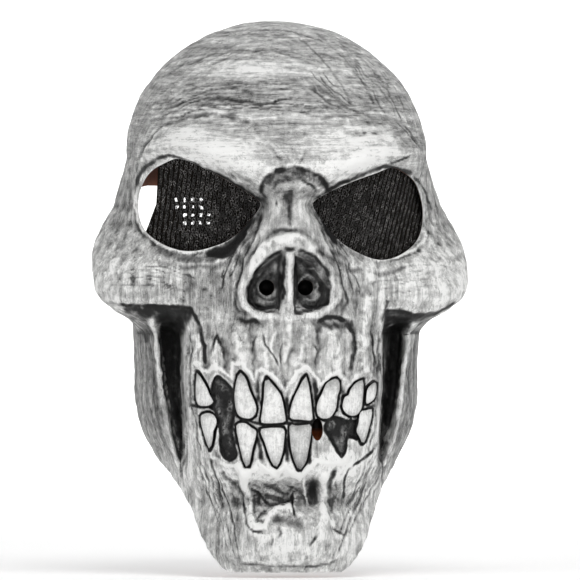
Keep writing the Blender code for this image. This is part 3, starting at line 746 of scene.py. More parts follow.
# dark, soft edge, outline
patches = (
    (0.58, 4.0, [
        (264, 188), (263, 178), (272, 172), (284, 166), (298, 168), (312, 171),
        (326, 177), (332, 190), (318, 186), (304, 180), (292, 184), (276, 184),
    ]),
    (0.58, 2.0, [(283, 250), (270, 256), (256, 270), (249, 288), (251, 303), (262, 310), (283, 304)]),
    (0.58, 2.0, [(297, 250), (312, 256), (325, 270), (332, 287), (328, 303), (314, 308), (297, 304)]),
    (0.95, 2.0, [
        (259, 202), (255, 217), (244, 237), (234, 253), (222, 259),
        (206, 257), (212, 251), (230, 243), (246, 227), (252, 209),
    ]),
    (0.98, 1.5, [
        (315, 200), (317.5, 211), (324, 229.6), (331.6, 240.4),
        (337.4, 247), (337.4, 236), (331, 221), (326, 201),
    ]),
    (0.50, 3.0, [(152, 242), (172, 252), (196, 256), (222, 254), (214, 264), (190, 264), (166, 258)]),
    (0.70, 3.0, [
        (127, 306), (150, 306), (193, 308), (192, 318), (186, 328), (182, 345), (181, 400), (184, 444),
        (180, 444), (172, 420), (166, 395), (163, 370), (161, 345), (157, 327), (148, 315), (127, 311),
    ]),
    (0.70, 3.0, [
        (384, 310), (404, 311), (425, 314), (428, 318), (412, 322), (405, 332), (402, 345), (399, 370),
        (396, 395), (393, 412), (385, 430), (382, 420), (384, 380), (385, 345), (382, 322),
    ]),
)
# u, v, radius across, radius down, amount, dark
mounds = (
    (260, 70, 46, 12, 0.5, -0.55),
    (206, 152, 50, 24, 0.9, -0.45),
    (350, 149, 44, 24, 1.0, -0.50),
    (230, 114, 9, 5, -0.8, 0.35),
    (276, 204, 8, 12, 1.4, -0.30),
    (303, 206, 9, 17, 1.3, -0.30),
    (308, 222, 7, 7, 0.8, -0.20),
    (276, 270, 4, 9, 0.4, -0.90),
    (315, 294, 6, 6, 0.4, -0.90),
    (320, 276, 4, 6, 0.3, -0.50),
    (262, 302, 8, 3, 0.3, -0.60),
    (285, 226, 15, 6, -0.4, 0.10),
    (303, 266, 5, 8, 0.4, -0.30),
    (407, 334, 6, 5, 1.3, -0.35),
    (312.5, 491, 5.5, 13, -1.4, 0.90),
    (316, 482, 4, 5, -0.3, 0.50),
    (270, 486, 14, 6, -0.4, 0.25),
    (296, 528, 20, 16, 0.3, 0.16),
    (336, 461, 18, 8, 1.4, -0.90),
    (322, 452, 8, 6, -0.8, 0.35),
    (328, 433, 3, 6, 0.8, -0.80),
    (226, 470, 14, 8, 0.6, -0.30),
    (150, 268, 30, 14, 0.4, -0.35),
    (420, 268, 30, 14, 0.4, -0.25),
    (222, 318, 16, 12, 0.3, -0.30),
)


# families of fine fibres between two guide lines: count, seed, amount, radius, dark
fibres = (
    (13, 1, -0.32, 0.85, 0.50,
     [(264, 204), (255, 228), (242, 258), (236, 292)], [(258, 212), (240, 240), (222, 262), (212, 292)]),
    (13, 2, -0.32, 0.85, 0.48,
     [(314, 206), (325, 232), (338, 262), (345, 294)], [(320, 214), (338, 238), (356, 264), (366, 292)]),
    (14, 3, -0.26, 0.95, 0.42,
     [(160, 104), (205, 82), (262, 78), (320, 84)], [(150, 128), (200, 110), (250, 110), (310, 116)]),
    (16, 4, -0.26, 0.95, 0.40,
     [(212, 32), (255, 24), (300, 26), (345, 44)], [(170, 92), (214, 66), (262, 60), (318, 72)]),
    (16, 5, -0.26, 0.95, 0.42,
     [(304, 24), (340, 50), (366, 84), (384, 112)], [(346, 36), (376, 60), (398, 92), (410, 124)]),
    (9, 6, -0.24, 0.9, 0.36,
     [(318, 60), (336, 84), (360, 104), (392, 112)], [(300, 84), (320, 104), (350, 118), (390, 122)]),
    (10, 7, -0.30, 0.9, 0.50,
     [(190, 320), (186, 360), (186, 410), (194, 452)], [(206, 330), (198, 360), (196, 410), (204, 452)]),
    (12, 8, -0.32, 0.95, 0.50,
     [(188, 440), (200, 480), (214, 520), (228, 556)], [(210, 456), (222, 482), (234, 516), (240, 556)]),
    (12, 9, -0.30, 0.95, 0.45,
     [(372, 430), (362, 476), (348, 520), (336, 556)], [(398, 440), (384, 476), (366, 508), (344, 548)]),
    (5, 10, -0.20, 0.8, 0.30,
     [(208, 322), (214, 340), (222, 352), (232, 362)], [(240, 318), (246, 336), (252, 350), (254, 362)]),
    (5, 11, -0.20, 0.8, 0.30,
     [(330, 320), (326, 338), (322, 352), (318, 364)], [(372, 318), (366, 336), (360, 350), (352, 364)]),
    (9, 12, -0.24, 0.9, 0.36,
     [(112, 268), (140, 262), (168, 264), (196, 276)], [(112, 288), (140, 286), (168, 288), (200, 300)]),
    (9, 13, -0.24, 0.9, 0.32,
     [(370, 276), (396, 268), (424, 264), (450, 268)], [(372, 296), (396, 294), (426, 290), (456, 288)]),
    (9, 14, -0.24, 0.9, 0.40,
     [(250, 482), (268, 486), (286, 488), (306, 482)], [(252, 512), (270, 520), (290, 524), (316, 516)]),
    (12, 15, -0.30, 0.9, 0.48,
     [(392, 452), (378, 480), (364, 508), (350, 540)], [(372, 452), (358, 482), (346, 506), (336, 534)]),
    (8, 19, -0.50, 0.9, 0.60,
     [(372, 326), (373, 350), (374, 380), (376, 420)], [(384, 326), (383, 350), (383, 380), (382, 420)]),
    (7, 20, -0.50, 0.9, 0.60,
     [(183, 330), (184, 350), (183, 380), (185, 430)], [(192, 326), (194, 350), (190, 380), (194, 430)]),
    (5, 16, -0.20, 0.8, 0.18,
     [(268, 140), (278, 150), (284, 158), (288, 168)], [(300, 140), (298, 150), (296, 158), (294, 168)]),
    (9, 17, -0.24, 0.9, 0.38,
     [(140, 152), (150, 134), (166, 120), (188, 112)], [(130, 190), (134, 166), (142, 146), (156, 130)]),
    (9, 18, -0.24, 0.9, 0.38,
     [(426, 160), (418, 140), (404, 124), (384, 114)], [(436, 200), (434, 176), (424, 152), (410, 132)]),
)
# how light the paint is by area, 0 black and 1 white, where the chin's left side and the band under the lower
# gum are made lighter as painted light against their shade: u, v, radius across, radius down, tone
areas = (
    (270, 62, 80, 44, 0.65),
    (262, 70, 44, 10, 0.86),
    (205, 150, 46, 24, 0.78),
    (352, 148, 46, 26, 0.81),
    (146, 126, 14, 34, 0.64),
    (412, 128, 14, 34, 0.56),
    (138, 262, 30, 18, 0.72),
    (422, 276, 40, 22, 0.80),
    (210, 284, 22, 16, 0.56),
    (372, 284, 20, 14, 0.72),
    (243, 262, 9, 26, 0.67),
    (336, 262, 9, 26, 0.62),
    (243, 292, 6, 20, 0.56),
    (338, 290, 6, 18, 0.60),
    (288, 210, 22, 18, 0.60),
    (285, 334, 70, 20, 0.66),
    (285, 366, 70, 10, 0.78),
    (150, 400, 20, 60, 0.54),
    (408, 410, 18, 50, 0.51),
    (182, 480, 22, 36, 0.80),
    (372, 492, 26, 36, 0.84),
    # painted light: lighter here to make up for the shade on the chin's left side
    (222, 500, 13, 24, 0.72),
    (298, 546, 40, 18, 0.82),
    (298, 508, 22, 18, 0.66),
    (340, 462, 20, 10, 0.94),
    # painted light: lighter under the lower gum, where the surface faces down out of the light
    (270, 474, 40, 8, 0.96),
)


def fibreLines():
    for count, seed, amount, radius, shade, first, second in fibres:
        rng = np.random.default_rng(100 + seed)
        a, b = np.array(first, float), np.array(second, float)
        stations = np.linspace(0, len(a) - 1, 9)
        for i in range(count):
            share = (i + rng.uniform(0.2, 0.8)) / count
            guide = a * (1 - share) + b * share
            line = np.column_stack([np.interp(stations, np.arange(len(a)), guide[:, k]) for k in (0, 1)])
            line += rng.normal(0, 0.8, line.shape)
            begin = rng.integers(0, 4)
            end = rng.integers(begin + 3, 10)
            strength = rng.uniform(0.5, 1.15)
            width = radius * rng.uniform(0.8, 1.3)
            yield amount * strength, width, shade * strength, [tuple(q) for q in line[begin:end]]


def deepHollows(u, v, grow):
    # how far back the gaps of missing teeth lie, in metres
    depth = np.zeros(len(u))
    for amount, soft, corners in hollows:
        outline = smoothOutline(corners, 60)
        near = nearby(u, v, outline, 20)
        distance = outlineDistance(u[near], v[near], outline)
        depth[near] = np.maximum(depth[near], amount * 0.001 * rise(soft / 2 + grow, -soft + grow, distance))
    return depth


fineSize = {
    "warp": 1.6,  # pixels by which lines wander
    "troughDepth": 0.0016,
    "speckleRise": 0.0005,
    "lumpRise": 0.0006,
    "brushOverWash": 0.55,
    "brushTone": 0.22,
    "plainTone": 0.62,
    "plainWeight": 0.15,
}


def fineShapes(points):
    # forward movement in metres, dark wash and paint tone at each point
    straightU, straightV = inPicture(points)
    u = straightU + fineSize["warp"] * layNoise(points, (0.0060, 0.02, 0.0060), 41, 3)
    v = straightV + fineSize["warp"] * layNoise(points, (0.0060, 0.02, 0.0060), 47, 3)
    ragged = np.clip(0.86 + 0.50 * layNoise(points, (0.0040, 0.02, 0.0040), 53, 3), 0.3, 1.2)
    speckle = layNoise(points, (0.0014, 0.02, 0.0014), 61, 2)
    lumps = layNoise(points, (0.0032, 0.02, 0.0050), 67, 2)
    forward, dark, light = np.zeros(len(u)), np.zeros(len(u)), np.zeros(len(u))
    for amount, radius, shade, line in [*strokes, *fibreLines()]:
        near = nearby(u, v, line, radius * 3)
        share = np.exp(-((lineDistance(u[near], v[near], line) / radius) ** 2))
        if radius < 3:
            # thins out towards its ends
            (endU, endV), (lastU, lastV) = line[0], line[-1]
            toEnd = np.hypot(u[near] - endU, v[near] - endV)
            toEnd = np.minimum(toEnd, np.hypot(u[near] - lastU, v[near] - lastV))
            share *= rise(-2.0, 6.0, toEnd)
        forward[near] += amount * 0.001 * share * (0.5 + 0.5 * ragged[near])
        target = dark if shade > 0 else light
        target[near] = np.maximum(target[near], abs(shade) * share * ragged[near])
    for atU, atV, acrossU, acrossV, amount, shade in mounds:
        share = bump(u, v, atU, atV, acrossU, acrossV)
        forward += amount * 0.001 * share
        if shade > 0:
            dark = np.maximum(dark, shade * share * ragged)
        else:
            light = np.maximum(light, -shade * share)
    for shade, soft, outline in patches:
        near = nearby(u, v, outline, 8)
        share = rise(soft, -soft, outlineDistance(u[near], v[near], outline))
        dark[near] = np.maximum(dark[near], shade * share * (0.6 + 0.4 * ragged[near]))
    warpedU, warpedV = u, v
    u = straightU * 0.7 + u * 0.3
    v = straightV * 0.7 + v * 0.3
    # a black trough round each tooth
    for outline in toothOutlines.values():
        near = nearby(u, v, outline, 8)
        distance = outlineDistance(u[near], v[near], outline)
        forward[near] -= fineSize["troughDepth"] * rise(3.4, 0.8, distance)
        dark[near] = np.maximum(dark[near], rise(2.6, 1.0, distance) * (0.55 + 0.45 * ragged[near]))
        light[near] *= rise(0.5, 2.8, distance)
    for amount, soft, corners in hollows:
        outline = smoothOutline(corners, 60)
        near = nearby(warpedU, warpedV, outline, 8)
        distance = outlineDistance(warpedU[near], warpedV[near], outline)
        middle = 0.50 + 0.42 * lumps[near] + 0.30 * speckle[near]
        rim = middle + (1 - middle) * np.exp(-((distance / 2.6) ** 2))
        dark[near] = np.maximum(dark[near], rim * rise(1.6, -1.2, distance))
        rough = fineSize["speckleRise"] * speckle[near] + fineSize["lumpRise"] * lumps[near]
        forward[near] += rough * rise(0.0, -2.0, distance)
        light[near] *= rise(-2.0, 2.0, distance)
    dark *= 1 - fineSize["brushOverWash"] * np.clip(light, 0, 1)
    weight = np.full(len(u), fineSize["plainWeight"])
    total = fineSize["plainTone"] * weight
    for atU, atV, acrossU, acrossV, tone in areas:
        share = bump(u, v, atU, atV, acrossU, acrossV)
        total += share * tone
        weight += share
    return forward, dark, np.clip(total / weight + fineSize["brushTone"] * light, 0, 1)


shellSize = {
    "columns": 430,
    "rows": 400,
    "innerColumns": 112,
    "innerRows": 92,
    "trianglesKept": 188000,
}


def headObject(name, columns, rows, inset, even):
    deselectAll()
    bpy.ops.mesh.primitive_uv_sphere_add(segments=columns, ring_count=rows, radius=1)
    made = bpy.context.object
    made.name = made.data.name = name
    writePoints(made.data, headPoints(readPoints(made.data), inset, even))
    return made


castSize = {"deepest": -0.0017, "lumps": 0.00040, "fine": 0.00014, "ridged": 0.00016, "grain": 0.00022}


def roughen(obj):
    # fine shapes and the latex cast's own unevenness, along each point's normal
    points, normals = readPoints(obj.data), readNormals(obj.data)
    seen = rise(0.10, 0.45, normals @ -lookAhead) * rise(0.030, 0.0, points[:, 1])
    moved = np.maximum(fineShapes(points)[0], castSize["deepest"]) * seen
    lumps = layNoise(points, (0.012, 0.012, 0.012), 3)
    fine = layNoise(points, (0.0040, 0.0040, 0.0040), 11, 2)
    upright = layNoise(points, (0.0040, 0.0040, 0.026), 23, 2)
    level = layNoise(points, (0.030, 0.030, 0.0040), 31, 2)
    height = points[:, 2] + headForm["seatHeight"]
    brow = rise(0.205, 0.235, height)
    ridged = 1 - 2 * np.abs(layNoise(points, (0.0065, 0.0065, 0.0065), 71, 3))
    moved += castSize["lumps"] * lumps + castSize["fine"] * fine + castSize["ridged"] * ridged
    moved += castSize["grain"] * (level * brow + upright * (1 - brow))
    writePoints(obj.data, points + normals * moved[:, None])


def prism(name, outline, depth):
    curve = bpy.data.curves.new(name, "CURVE")
    curve.dimensions = "2D"
    curve.fill_mode = "BOTH"
    curve.extrude = depth
    spline = curve.splines.new("POLY")
    spline.points.add(len(outline) - 1)
    for point, (a, b) in zip(spline.points, outline):
        point.co = (a, b, 0, 1)
    spline.use_cyclic_u = True
    obj = bpy.data.objects.new(name, curve)
    bpy.context.collection.objects.link(obj)
    activate(obj)
    bpy.ops.object.convert(target="MESH")
    obj = bpy.context.object
    bpy.ops.object.mode_set(mode="EDIT")
    bpy.ops.mesh.select_all(action="SELECT")
    bpy.ops.mesh.remove_doubles(threshold=0.00001)
    bpy.ops.mesh.normals_make_consistent(inside=False)
    bpy.ops.object.mode_set(mode="OBJECT")
    return obj


def frontPrism(name, outline, nearest, furthest):
    lowered = [(x, height - headForm["seatHeight"]) for x, height in outline]
    cutter = prism(name, lowered, (furthest - nearest) / 2)
    middle = Matrix.Translation((0, (nearest + furthest) / 2 - headForm["seatY"], 0))
    cutter.matrix_world = middle @ Matrix.Rotation(math.pi / 2, 4, "X")
    return cutter


def edgePrism():
    reach, line = headForm["edgeReach"], headForm["edgeLine"]
    outline = [(-reach, 0.0), *line, (reach, line[-1][1]), (reach, -0.04), (-reach, -0.04)]
    lowered = [(y - headForm["seatY"], height - headForm["seatHeight"]) for y, height in outline]
    cutter = prism("edgeCutter", lowered, reach)
    cutter.matrix_world = Matrix(((0, 0, 1, 0), (1, 0, 0, 0), (0, 1, 0, 0), (0, 0, 0, 1)))
    return cutter


def ellipseOutline(x, height, halfWidth, halfHeight, count):
    turns = [2 * math.pi * i / count for i in range(count)]
    return [(x + halfWidth * math.cos(t), height + halfHeight * math.sin(t)) for t in turns]


def cutAway(obj, cutters):
    # cuts all the cutters from obj, and removes them
    held = bpy.data.collections.new("cutters")
    for cutter in cutters:
        held.objects.link(cutter)
    activate(obj)
    cut = obj.modifiers.new("cut", "BOOLEAN")
    cut.operation = "DIFFERENCE"
    cut.solver = "MANIFOLD"
    cut.operand_type = "COLLECTION"
    cut.collection = held
    bpy.ops.object.modifier_apply(modifier=cut.name)
    for cutter in cutters:
        bpy.data.objects.remove(cutter)
    bpy.data.collections.remove(held)


def treeOf(obj):
    bm = bmesh.new()
    bm.from_mesh(obj.data)
    tree = BVHTree.FromBMesh(bm)
    bm.free()
    return tree


def neighbourSums(mesh):
    edges = np.empty(len(mesh.edges) * 2, np.int32)
    mesh.edges.foreach_get("vertices", edges)
    a, b = edges.reshape(-1, 2).T
    count = len(mesh.vertices)
    ends, others = np.concatenate((a, b)), np.concatenate((b, a))
    share = 1 / np.maximum(np.bincount(ends, minlength=count), 1)

    def average(values):
        if values.ndim == 1:
            return np.bincount(ends, values[others], count) * share
        return np.column_stack([np.bincount(ends, values[others, i], count) * share for i in range(3)])

    return average


def setAttribute(mesh, name, values):
    made = mesh.attributes.new(name, "FLOAT", "POINT")
    made.data.foreach_set("value", np.ascontiguousarray(np.clip(values, -1, 1), np.float32))


def makeShell():
    size = shellSize
    shell = headObject("skullSkin", size["columns"], size["rows"], 0.0, True)
    fixNormals(shell)
    base = treeOf(shell)
    roughen(shell)
    hollow = headObject("skullHollow", size["innerColumns"], size["innerRows"], headForm["wall"], False)
    fixNormals(hollow)
    inner = treeOf(hollow)
    report("shell forms made, triangles", 2 * len(shell.data.polygons))
    cutters = [hollow, edgePrism()]
    for side in (-1, 1):
        cutters.append(frontPrism("eyeCutter", smoothOutline(eyeOutline(side), 72), -0.130, -0.010))
        x, height, radius = face["nostril"]
        circle = ellipseOutline(side * x, height, radius, radius, 28)
        cutters.append(frontPrism("nostrilCutter", circle, -0.125, -0.050))
    x, height, halfWidth, halfHeight = face["toothGap"]
    oval = ellipseOutline(x, height, halfWidth, halfHeight, 24)
    cutters.append(frontPrism("gapCutter", oval, -0.125, -0.050))
    cutAway(shell, cutters)
    triangles = sum(len(p.vertices) - 2 for p in shell.data.polygons)
    report("shell cut, triangles", triangles)
    if triangles > size["trianglesKept"]:
        activate(shell)
        thin = shell.modifiers.new("thin", "DECIMATE")
        thin.ratio = size["trianglesKept"] / triangles
        bpy.ops.object.modifier_apply(modifier=thin.name)
    for polygon in shell.data.polygons:
        polygon.use_smooth = True
    return shell, base, inner


def paintShell(shell, inner):
    # attributes that the paint reads: dark wash, tone, relief, bare latex and the painted shade over it
    # inside the crown, and the grain
    mesh = shell.data
    points, normals = readPoints(mesh), readNormals(mesh)
    seen = rise(0.05, 0.35, normals @ -lookAhead) * rise(0.030, 0.0, points[:, 1])
    _, dark, tone = fineShapes(points)
    bare = np.zeros(len(points))
    for i, (point, normal) in enumerate(zip(points, normals)):
        place, outward, _, gap = inner.find_nearest(Vector(point), 0.0009)
        if place is not None and outward.dot(Vector(normal)) < -0.2:
            bare[i] = rise(0.0007, 0.0002, gap)
    average = neighbourSums(mesh)
    smooth, steps, heights = points.copy(), 0, []
    for stop in (3, 12, 40):
        while steps < stop:
            smooth = average(smooth)
            steps += 1
        heights.append(((points - smooth) * normals).sum(axis=1))
    relief = heights[0] / 0.00011 + heights[1] / 0.00055 + heights[2] / 0.0040
    relief = np.clip(relief / 3, -1, 1)
    setAttribute(mesh, "dark", dark * seen)
    setAttribute(mesh, "tone", tone * seen + 0.60 * (1 - seen))
    setAttribute(mesh, "relief", relief)
    setAttribute(mesh, "bare", bare)
    height = points[:, 2] + headForm["seatHeight"]
    # painted shade: the bare latex inside the back of the crown, just above the cut edge on the -X side, is
    # made near black where the inside lies in shade
    insideShade = rise(0.2135, 0.2160, height) * rise(0.262, 0.236, height) * rise(-0.020, -0.030, points[:, 0])
    setAttribute(mesh, "insideShade", insideShade)
    setAttribute(mesh, "brow", rise(0.200, 0.235, height))
    u, v = inPicture(points)
    plain = bump(u, v, 285, 350, 62, 34) + bump(u, v, 288, 470, 46, 16) + bump(u, v, 290, 235, 40, 44)
    setAttribute(mesh, "grain", (1 - 0.55 * np.clip(plain, 0, 1)) * (0.70 + 0.30 * seen))


# teeth, each a pillow on its own outline
teethSize = {"around": 44, "rings": 20, "forward": 0.0016, "sink": 0.0030, "tone": 0.91, "darkerTooth": 0.78}


def makeTooth(name, outline, surface):
    deselectAll()
    around, rings = teethSize["around"], teethSize["rings"]
    bpy.ops.mesh.primitive_uv_sphere_add(segments=around, ring_count=rings, radius=1)
    tooth = bpy.context.object
    tooth.name = tooth.data.name = name
    points = readPoints(tooth.data)
    smooth = np.array(smoothOutline(outline, 160))
    centre = smooth.mean(axis=0)
    angles = np.arctan2(smooth[:, 1] - centre[1], smooth[:, 0] - centre[0])
    radii = np.hypot(*(smooth - centre).T)
    order = np.argsort(angles)
    out = np.hypot(points[:, 0], points[:, 1])
    turn = np.arctan2(points[:, 1], points[:, 0])
    radius = np.interp(turn, angles[order], radii[order], period=2 * math.pi)
    u = centre[0] + radius * np.cos(turn) * out**0.8
    v = centre[1] + radius * np.sin(turn) * out**0.8
    up = points[:, 2]
    lift = np.where(up > 0, np.maximum(up, 0) ** 0.7 * teethSize["forward"], up * teethSize["sink"])
    placed = []
    for a, b, ahead in zip(u, v, lift):
        middle = picture["pixels"] / 2
        ray = lookAhead * picture["distance"] + lookRight * (a - middle) * picture["pixelSize"]
        ray = Vector(ray + np.array([0, 0, (middle - b) * picture["pixelSize"]])).normalized()
        hit = surface.ray_cast(Vector(lookFrom), ray)[0]
        placed.append(hit - ray * ahead)
    writePoints(tooth.data, np.array(placed))
    fixNormals(tooth)
    setAttribute(tooth.data, "edge", np.where(up > 0, rise(0.84, 1.0, out), 1.0))
    upper = outline[0][1] < 400
    toRoot = (v - v.min()) / (v.max() - v.min())
    toRoot = 1 - toRoot if upper else toRoot
    faceTone = teethSize["darkerTooth"] if name == "lowerIncisorRight" else teethSize["tone"]
    # darker towards the root, and darker towards the sides of each tooth: the side darkening is painted shade
    # that rounds the flat pillow
    setAttribute(tooth.data, "tone", faceTone - 0.16 * rise(0.5, 1.0, toRoot) - 0.12 * rise(0.45, 0.95, out))
    for polygon in tooth.data.polygons:
        polygon.use_smooth = True
    return tooth


# knit nets behind the eye holes
netSize = {
    "behind": 0.0012,
    "overlap": 1.06,
    "columnPitch": 0.00240,
    "rowPitch": 0.00150,
    "stitchWidth": 0.0016,
    "stitchHeight": 0.0023,
    "yarn": 0.00021,
    "lean": {-1: 0.10, 1: 0.26},  # how far the columns lean, as x over height
    "disorder": {-1: 0.00022, 1: 0.00012},
    # the -X net stops short of the outer corner: height, x
    "shortEdge": ((0.170, -0.0790), (0.1823, -0.0741), (0.1878, -0.0719), (0.1987, -0.0683),
                  (0.230, -0.0670)),
    # small holes that light shows through, as picture rows
    "holes": (
        (200, (176, 184, 193, 201)),
        (207, (177, 184.5, 193, 201)),
        (215, (185, 193, 201, 209)),
        (223, (185, 193, 200, 208)),
    ),
    "holeRadius": 0.00056,
    "flat": {-1: (0.066, 0.052), 1: (0.070, 0.054)},  # width and length of each net laid flat
}


def stitchShape():
    # one tall loop of the knit, about the origin and facing -Y
    deselectAll()
    bpy.ops.mesh.primitive_torus_add(major_segments=10, minor_segments=4, major_radius=0.5, minor_radius=0.14)
    obj = bpy.context.object
    points = readPoints(obj.data)
    faces = [tuple(p.vertices) for p in obj.data.polygons]
    bpy.data.objects.remove(obj)
    # the ring stands up, narrows at its foot and leans forward at its top; the yarn stays round
    out = np.hypot(points[:, 0], points[:, 1])
    turn = np.arctan2(points[:, 1], points[:, 0])
    thick = netSize["yarn"] / 0.14
    x = np.cos(turn) * (0.5 * netSize["stitchWidth"] * (1 + 0.30 * np.sin(turn)) + (out - 0.5) * thick)
    z = np.sin(turn) * (0.5 * netSize["stitchHeight"] + (out - 0.5) * thick)
    y = points[:, 2] * thick - 0.00030 * np.sin(turn) + 0.00012 * np.cos(2 * turn)
    return np.column_stack((x, y, z)), faces


def panelPoint(x, height, inner):
    hit = inner.ray_cast(Vector((x, -0.3, height - headForm["seatHeight"])), Vector((0, 1, 0)))[0]
    return None if hit is None else hit.y + netSize["behind"]


def makeNet(side, inner):
    word = "Left" if side < 0 else "Right"
    outline = eyeOutline(side)
    centre = np.mean(outline, axis=0)
    grown = smoothOutline([tuple(centre + (np.array(p) - centre) * netSize["overlap"]) for p in outline], 200)
    if side < 0:
        edge = np.array(netSize["shortEdge"])
        grown = [(max(x, float(np.interp(h, edge[:, 0], edge[:, 1]))), h) for x, h in grown]
    # backing: a fine dark sheet, the net's own black filled in between the stitches with painted shade where
    # the dark inside of the head would show through
    deselectAll()
    bpy.ops.mesh.primitive_grid_add(x_subdivisions=96, y_subdivisions=76, size=2)
    shadeSheet = bpy.context.object
    shadeSheet.name = shadeSheet.data.name = "eyeNetShadeSheet" + word
    points = readPoints(shadeSheet.data)
    a, b = points[:, 0], points[:, 1]
    across, up = a * np.sqrt(1 - b * b / 2), b * np.sqrt(1 - a * a / 2)
    reach, angle = np.hypot(across, up), np.arctan2(up, across)
    g = np.array(grown) - centre
    angles, radii = np.arctan2(g[:, 1], g[:, 0]), np.hypot(g[:, 0], g[:, 1])
    order = np.argsort(angles)
    radius = np.interp(angle, angles[order], radii[order], period=2 * math.pi)
    x, height = centre[0] + reach * radius * np.cos(angle), centre[1] + reach * radius * np.sin(angle)
    y = np.array([panelPoint(i, j, inner) for i, j in zip(x, height)])
    placed = np.column_stack((x, y + 0.0006, height - headForm["seatHeight"]))
    writePoints(shadeSheet.data, placed)
    rows = netSize["holes"] if side < 0 else ()
    holes = np.array([(hu, hv) for hv, row in rows for hu in row])
    if len(holes):
        u, v = inPicture(placed)
        nearest = np.min(np.hypot(u[:, None] - holes[:, 0], v[:, None] - holes[:, 1]), axis=1)
        pierced = nearest * picture["pixelSize"] < netSize["holeRadius"]
        selectPoints(shadeSheet, pierced)
        bpy.ops.mesh.delete(type="VERT")
        bpy.ops.object.mode_set(mode="OBJECT")
    # knit, in columns that lean
    shape, faces = stitchShape()
    rng = np.random.default_rng(5 + side)
    lowX, highX = min(p[0] for p in grown) - 0.02, max(p[0] for p in grown) + 0.02
    lowH, highH = min(p[1] for p in grown), max(p[1] for p in grown)
    lean, disorder = netSize["lean"][side], netSize["disorder"][side]
    spots = []
    for i in range(int((highX - lowX) / netSize["columnPitch"]) + 1):
        for j in range(int((highH - lowH) / netSize["rowPitch"]) + 2):
            height = lowH + j * netSize["rowPitch"] + (0.5 * netSize["rowPitch"] if i % 2 else 0)
            spots.append((lowX + i * netSize["columnPitch"] + lean * (height - centre[1]), height))
    spots = np.array(spots) + rng.normal(0, disorder, (len(spots), 2))
    spots = spots[outlineDistance(spots[:, 0], spots[:, 1], grown) < -0.0009]
    stitches, paintedGlints = [], []
    for px, ph in spots:
        py = panelPoint(px, ph, inner)
        left, right = panelPoint(px - 0.003, ph, inner), panelPoint(px + 0.003, ph, inner)
        if py is None or left is None or right is None:
            continue
        if len(holes):
            hu, hv = inPicture(np.array([[px, py, ph - headForm["seatHeight"]]]))
            gap = np.min(np.hypot(hu[0] - holes[:, 0], hv[0] - holes[:, 1])) * picture["pixelSize"]
            if gap < 0.0010:
                # a loop beside a hole is pulled round it
                ph += 0.0009 if rng.uniform() < 0.5 else -0.0009
        turn = math.atan2(right - left, 0.006)
        c, s = math.cos(turn), math.sin(turn)
        q = shape * (1 + rng.normal(0, 0.10))
        tilt = lean + rng.normal(0, 0.16)
        leaned = np.column_stack((q[:, 0] + tilt * q[:, 2], q[:, 1], q[:, 2]))
        across, ahead, up = leaned.T
        moved = np.column_stack((across * c - ahead * s, across * s + ahead * c, up))
        stitches.append(moved + (px, py - 0.0002, ph - headForm["seatHeight"]))
        # how strongly this stitch shows painted glints
        paintedGlints.append(rng.beta(1.4, 3.2))
    count = len(shape)
    polys = [tuple(k * count + i for i in f) for k in range(len(stitches)) for f in faces]
    mesh = bpy.data.meshes.new("eyeKnit" + word)
    mesh.from_pydata(np.vstack(stitches).tolist(), [], polys)
    knit = bpy.data.objects.new("eyeKnit" + word, mesh)
    bpy.context.collection.objects.link(knit)
    fixNormals(knit)
    for polygon in knit.data.polygons:
        polygon.use_smooth = True
    setAttribute(mesh, "paintedGlint", np.repeat(paintedGlints, count))
    report("net", word, "stitches", len(stitches))
    return shadeSheet, knit


# materials
class Nodes:
    # short names for building a node tree

    def __init__(self, name):
        self.material = bpy.data.materials.new(name)
        self.material.use_nodes = True
        self.tree = self.material.node_tree
        self.shader = self.tree.nodes["Principled BSDF"]
        self.place = self.tree.nodes.new("ShaderNodeTexCoord").outputs["Object"]

    def link(self, value, socket):
        if isinstance(value, bpy.types.NodeSocket):
            self.tree.links.new(value, socket)
        else:
            socket.default_value = value

    def attribute(self, name):
        node = self.tree.nodes.new("ShaderNodeAttribute")
        node.attribute_name = name
        return node.outputs["Fac"]

    def math(self, operation, a, b=0.0, clamp=False):
        node = self.tree.nodes.new("ShaderNodeMath")
        node.operation = operation
        node.use_clamp = clamp
        self.link(a, node.inputs[0])
        self.link(b, node.inputs[1])
        return node.outputs[0]

    def mapped(self, scale, turn=(0, 0, 0)):
        node = self.tree.nodes.new("ShaderNodeMapping")
        node.inputs["Scale"].default_value = scale
        node.inputs["Rotation"].default_value = turn
        self.tree.links.new(self.place, node.inputs["Vector"])
        return node.outputs[0]

    def noise(self, scale, vector=None, detail=4.0, roughness=0.6, distortion=0.0):
        node = self.tree.nodes.new("ShaderNodeTexNoise")
        node.inputs["Scale"].default_value = scale
        node.inputs["Detail"].default_value = detail
        node.inputs["Roughness"].default_value = roughness
        node.inputs["Distortion"].default_value = distortion
        self.tree.links.new(vector or self.place, node.inputs["Vector"])
        return node.outputs["Fac"]

    def ranged(self, value, low, high, outLow=0.0, outHigh=1.0):
        node = self.tree.nodes.new("ShaderNodeMapRange")
        node.interpolation_type = "SMOOTHSTEP"
        self.link(value, node.inputs["Value"])
        for socket, number in zip(("From Min", "From Max", "To Min", "To Max"),
                                  (low, high, outLow, outHigh)):
            self.link(number, node.inputs[socket])
        return node.outputs[0]

    def mix(self, share, a, b):
        node = self.tree.nodes.new("ShaderNodeMix")
        node.data_type = "RGBA"
        self.link(share, node.inputs["Factor"])
        self.link(a, node.inputs["A"])
        self.link(b, node.inputs["B"])
        return node.outputs["Result"]

    def bump(self, height, distance, strength=1.0, under=None):
        node = self.tree.nodes.new("ShaderNodeBump")
        node.inputs["Distance"].default_value = distance
        node.inputs["Strength"].default_value = strength
        self.link(height, node.inputs["Height"])
        if under is not None:
            self.tree.links.new(under, node.inputs["Normal"])
        return node.outputs[0]


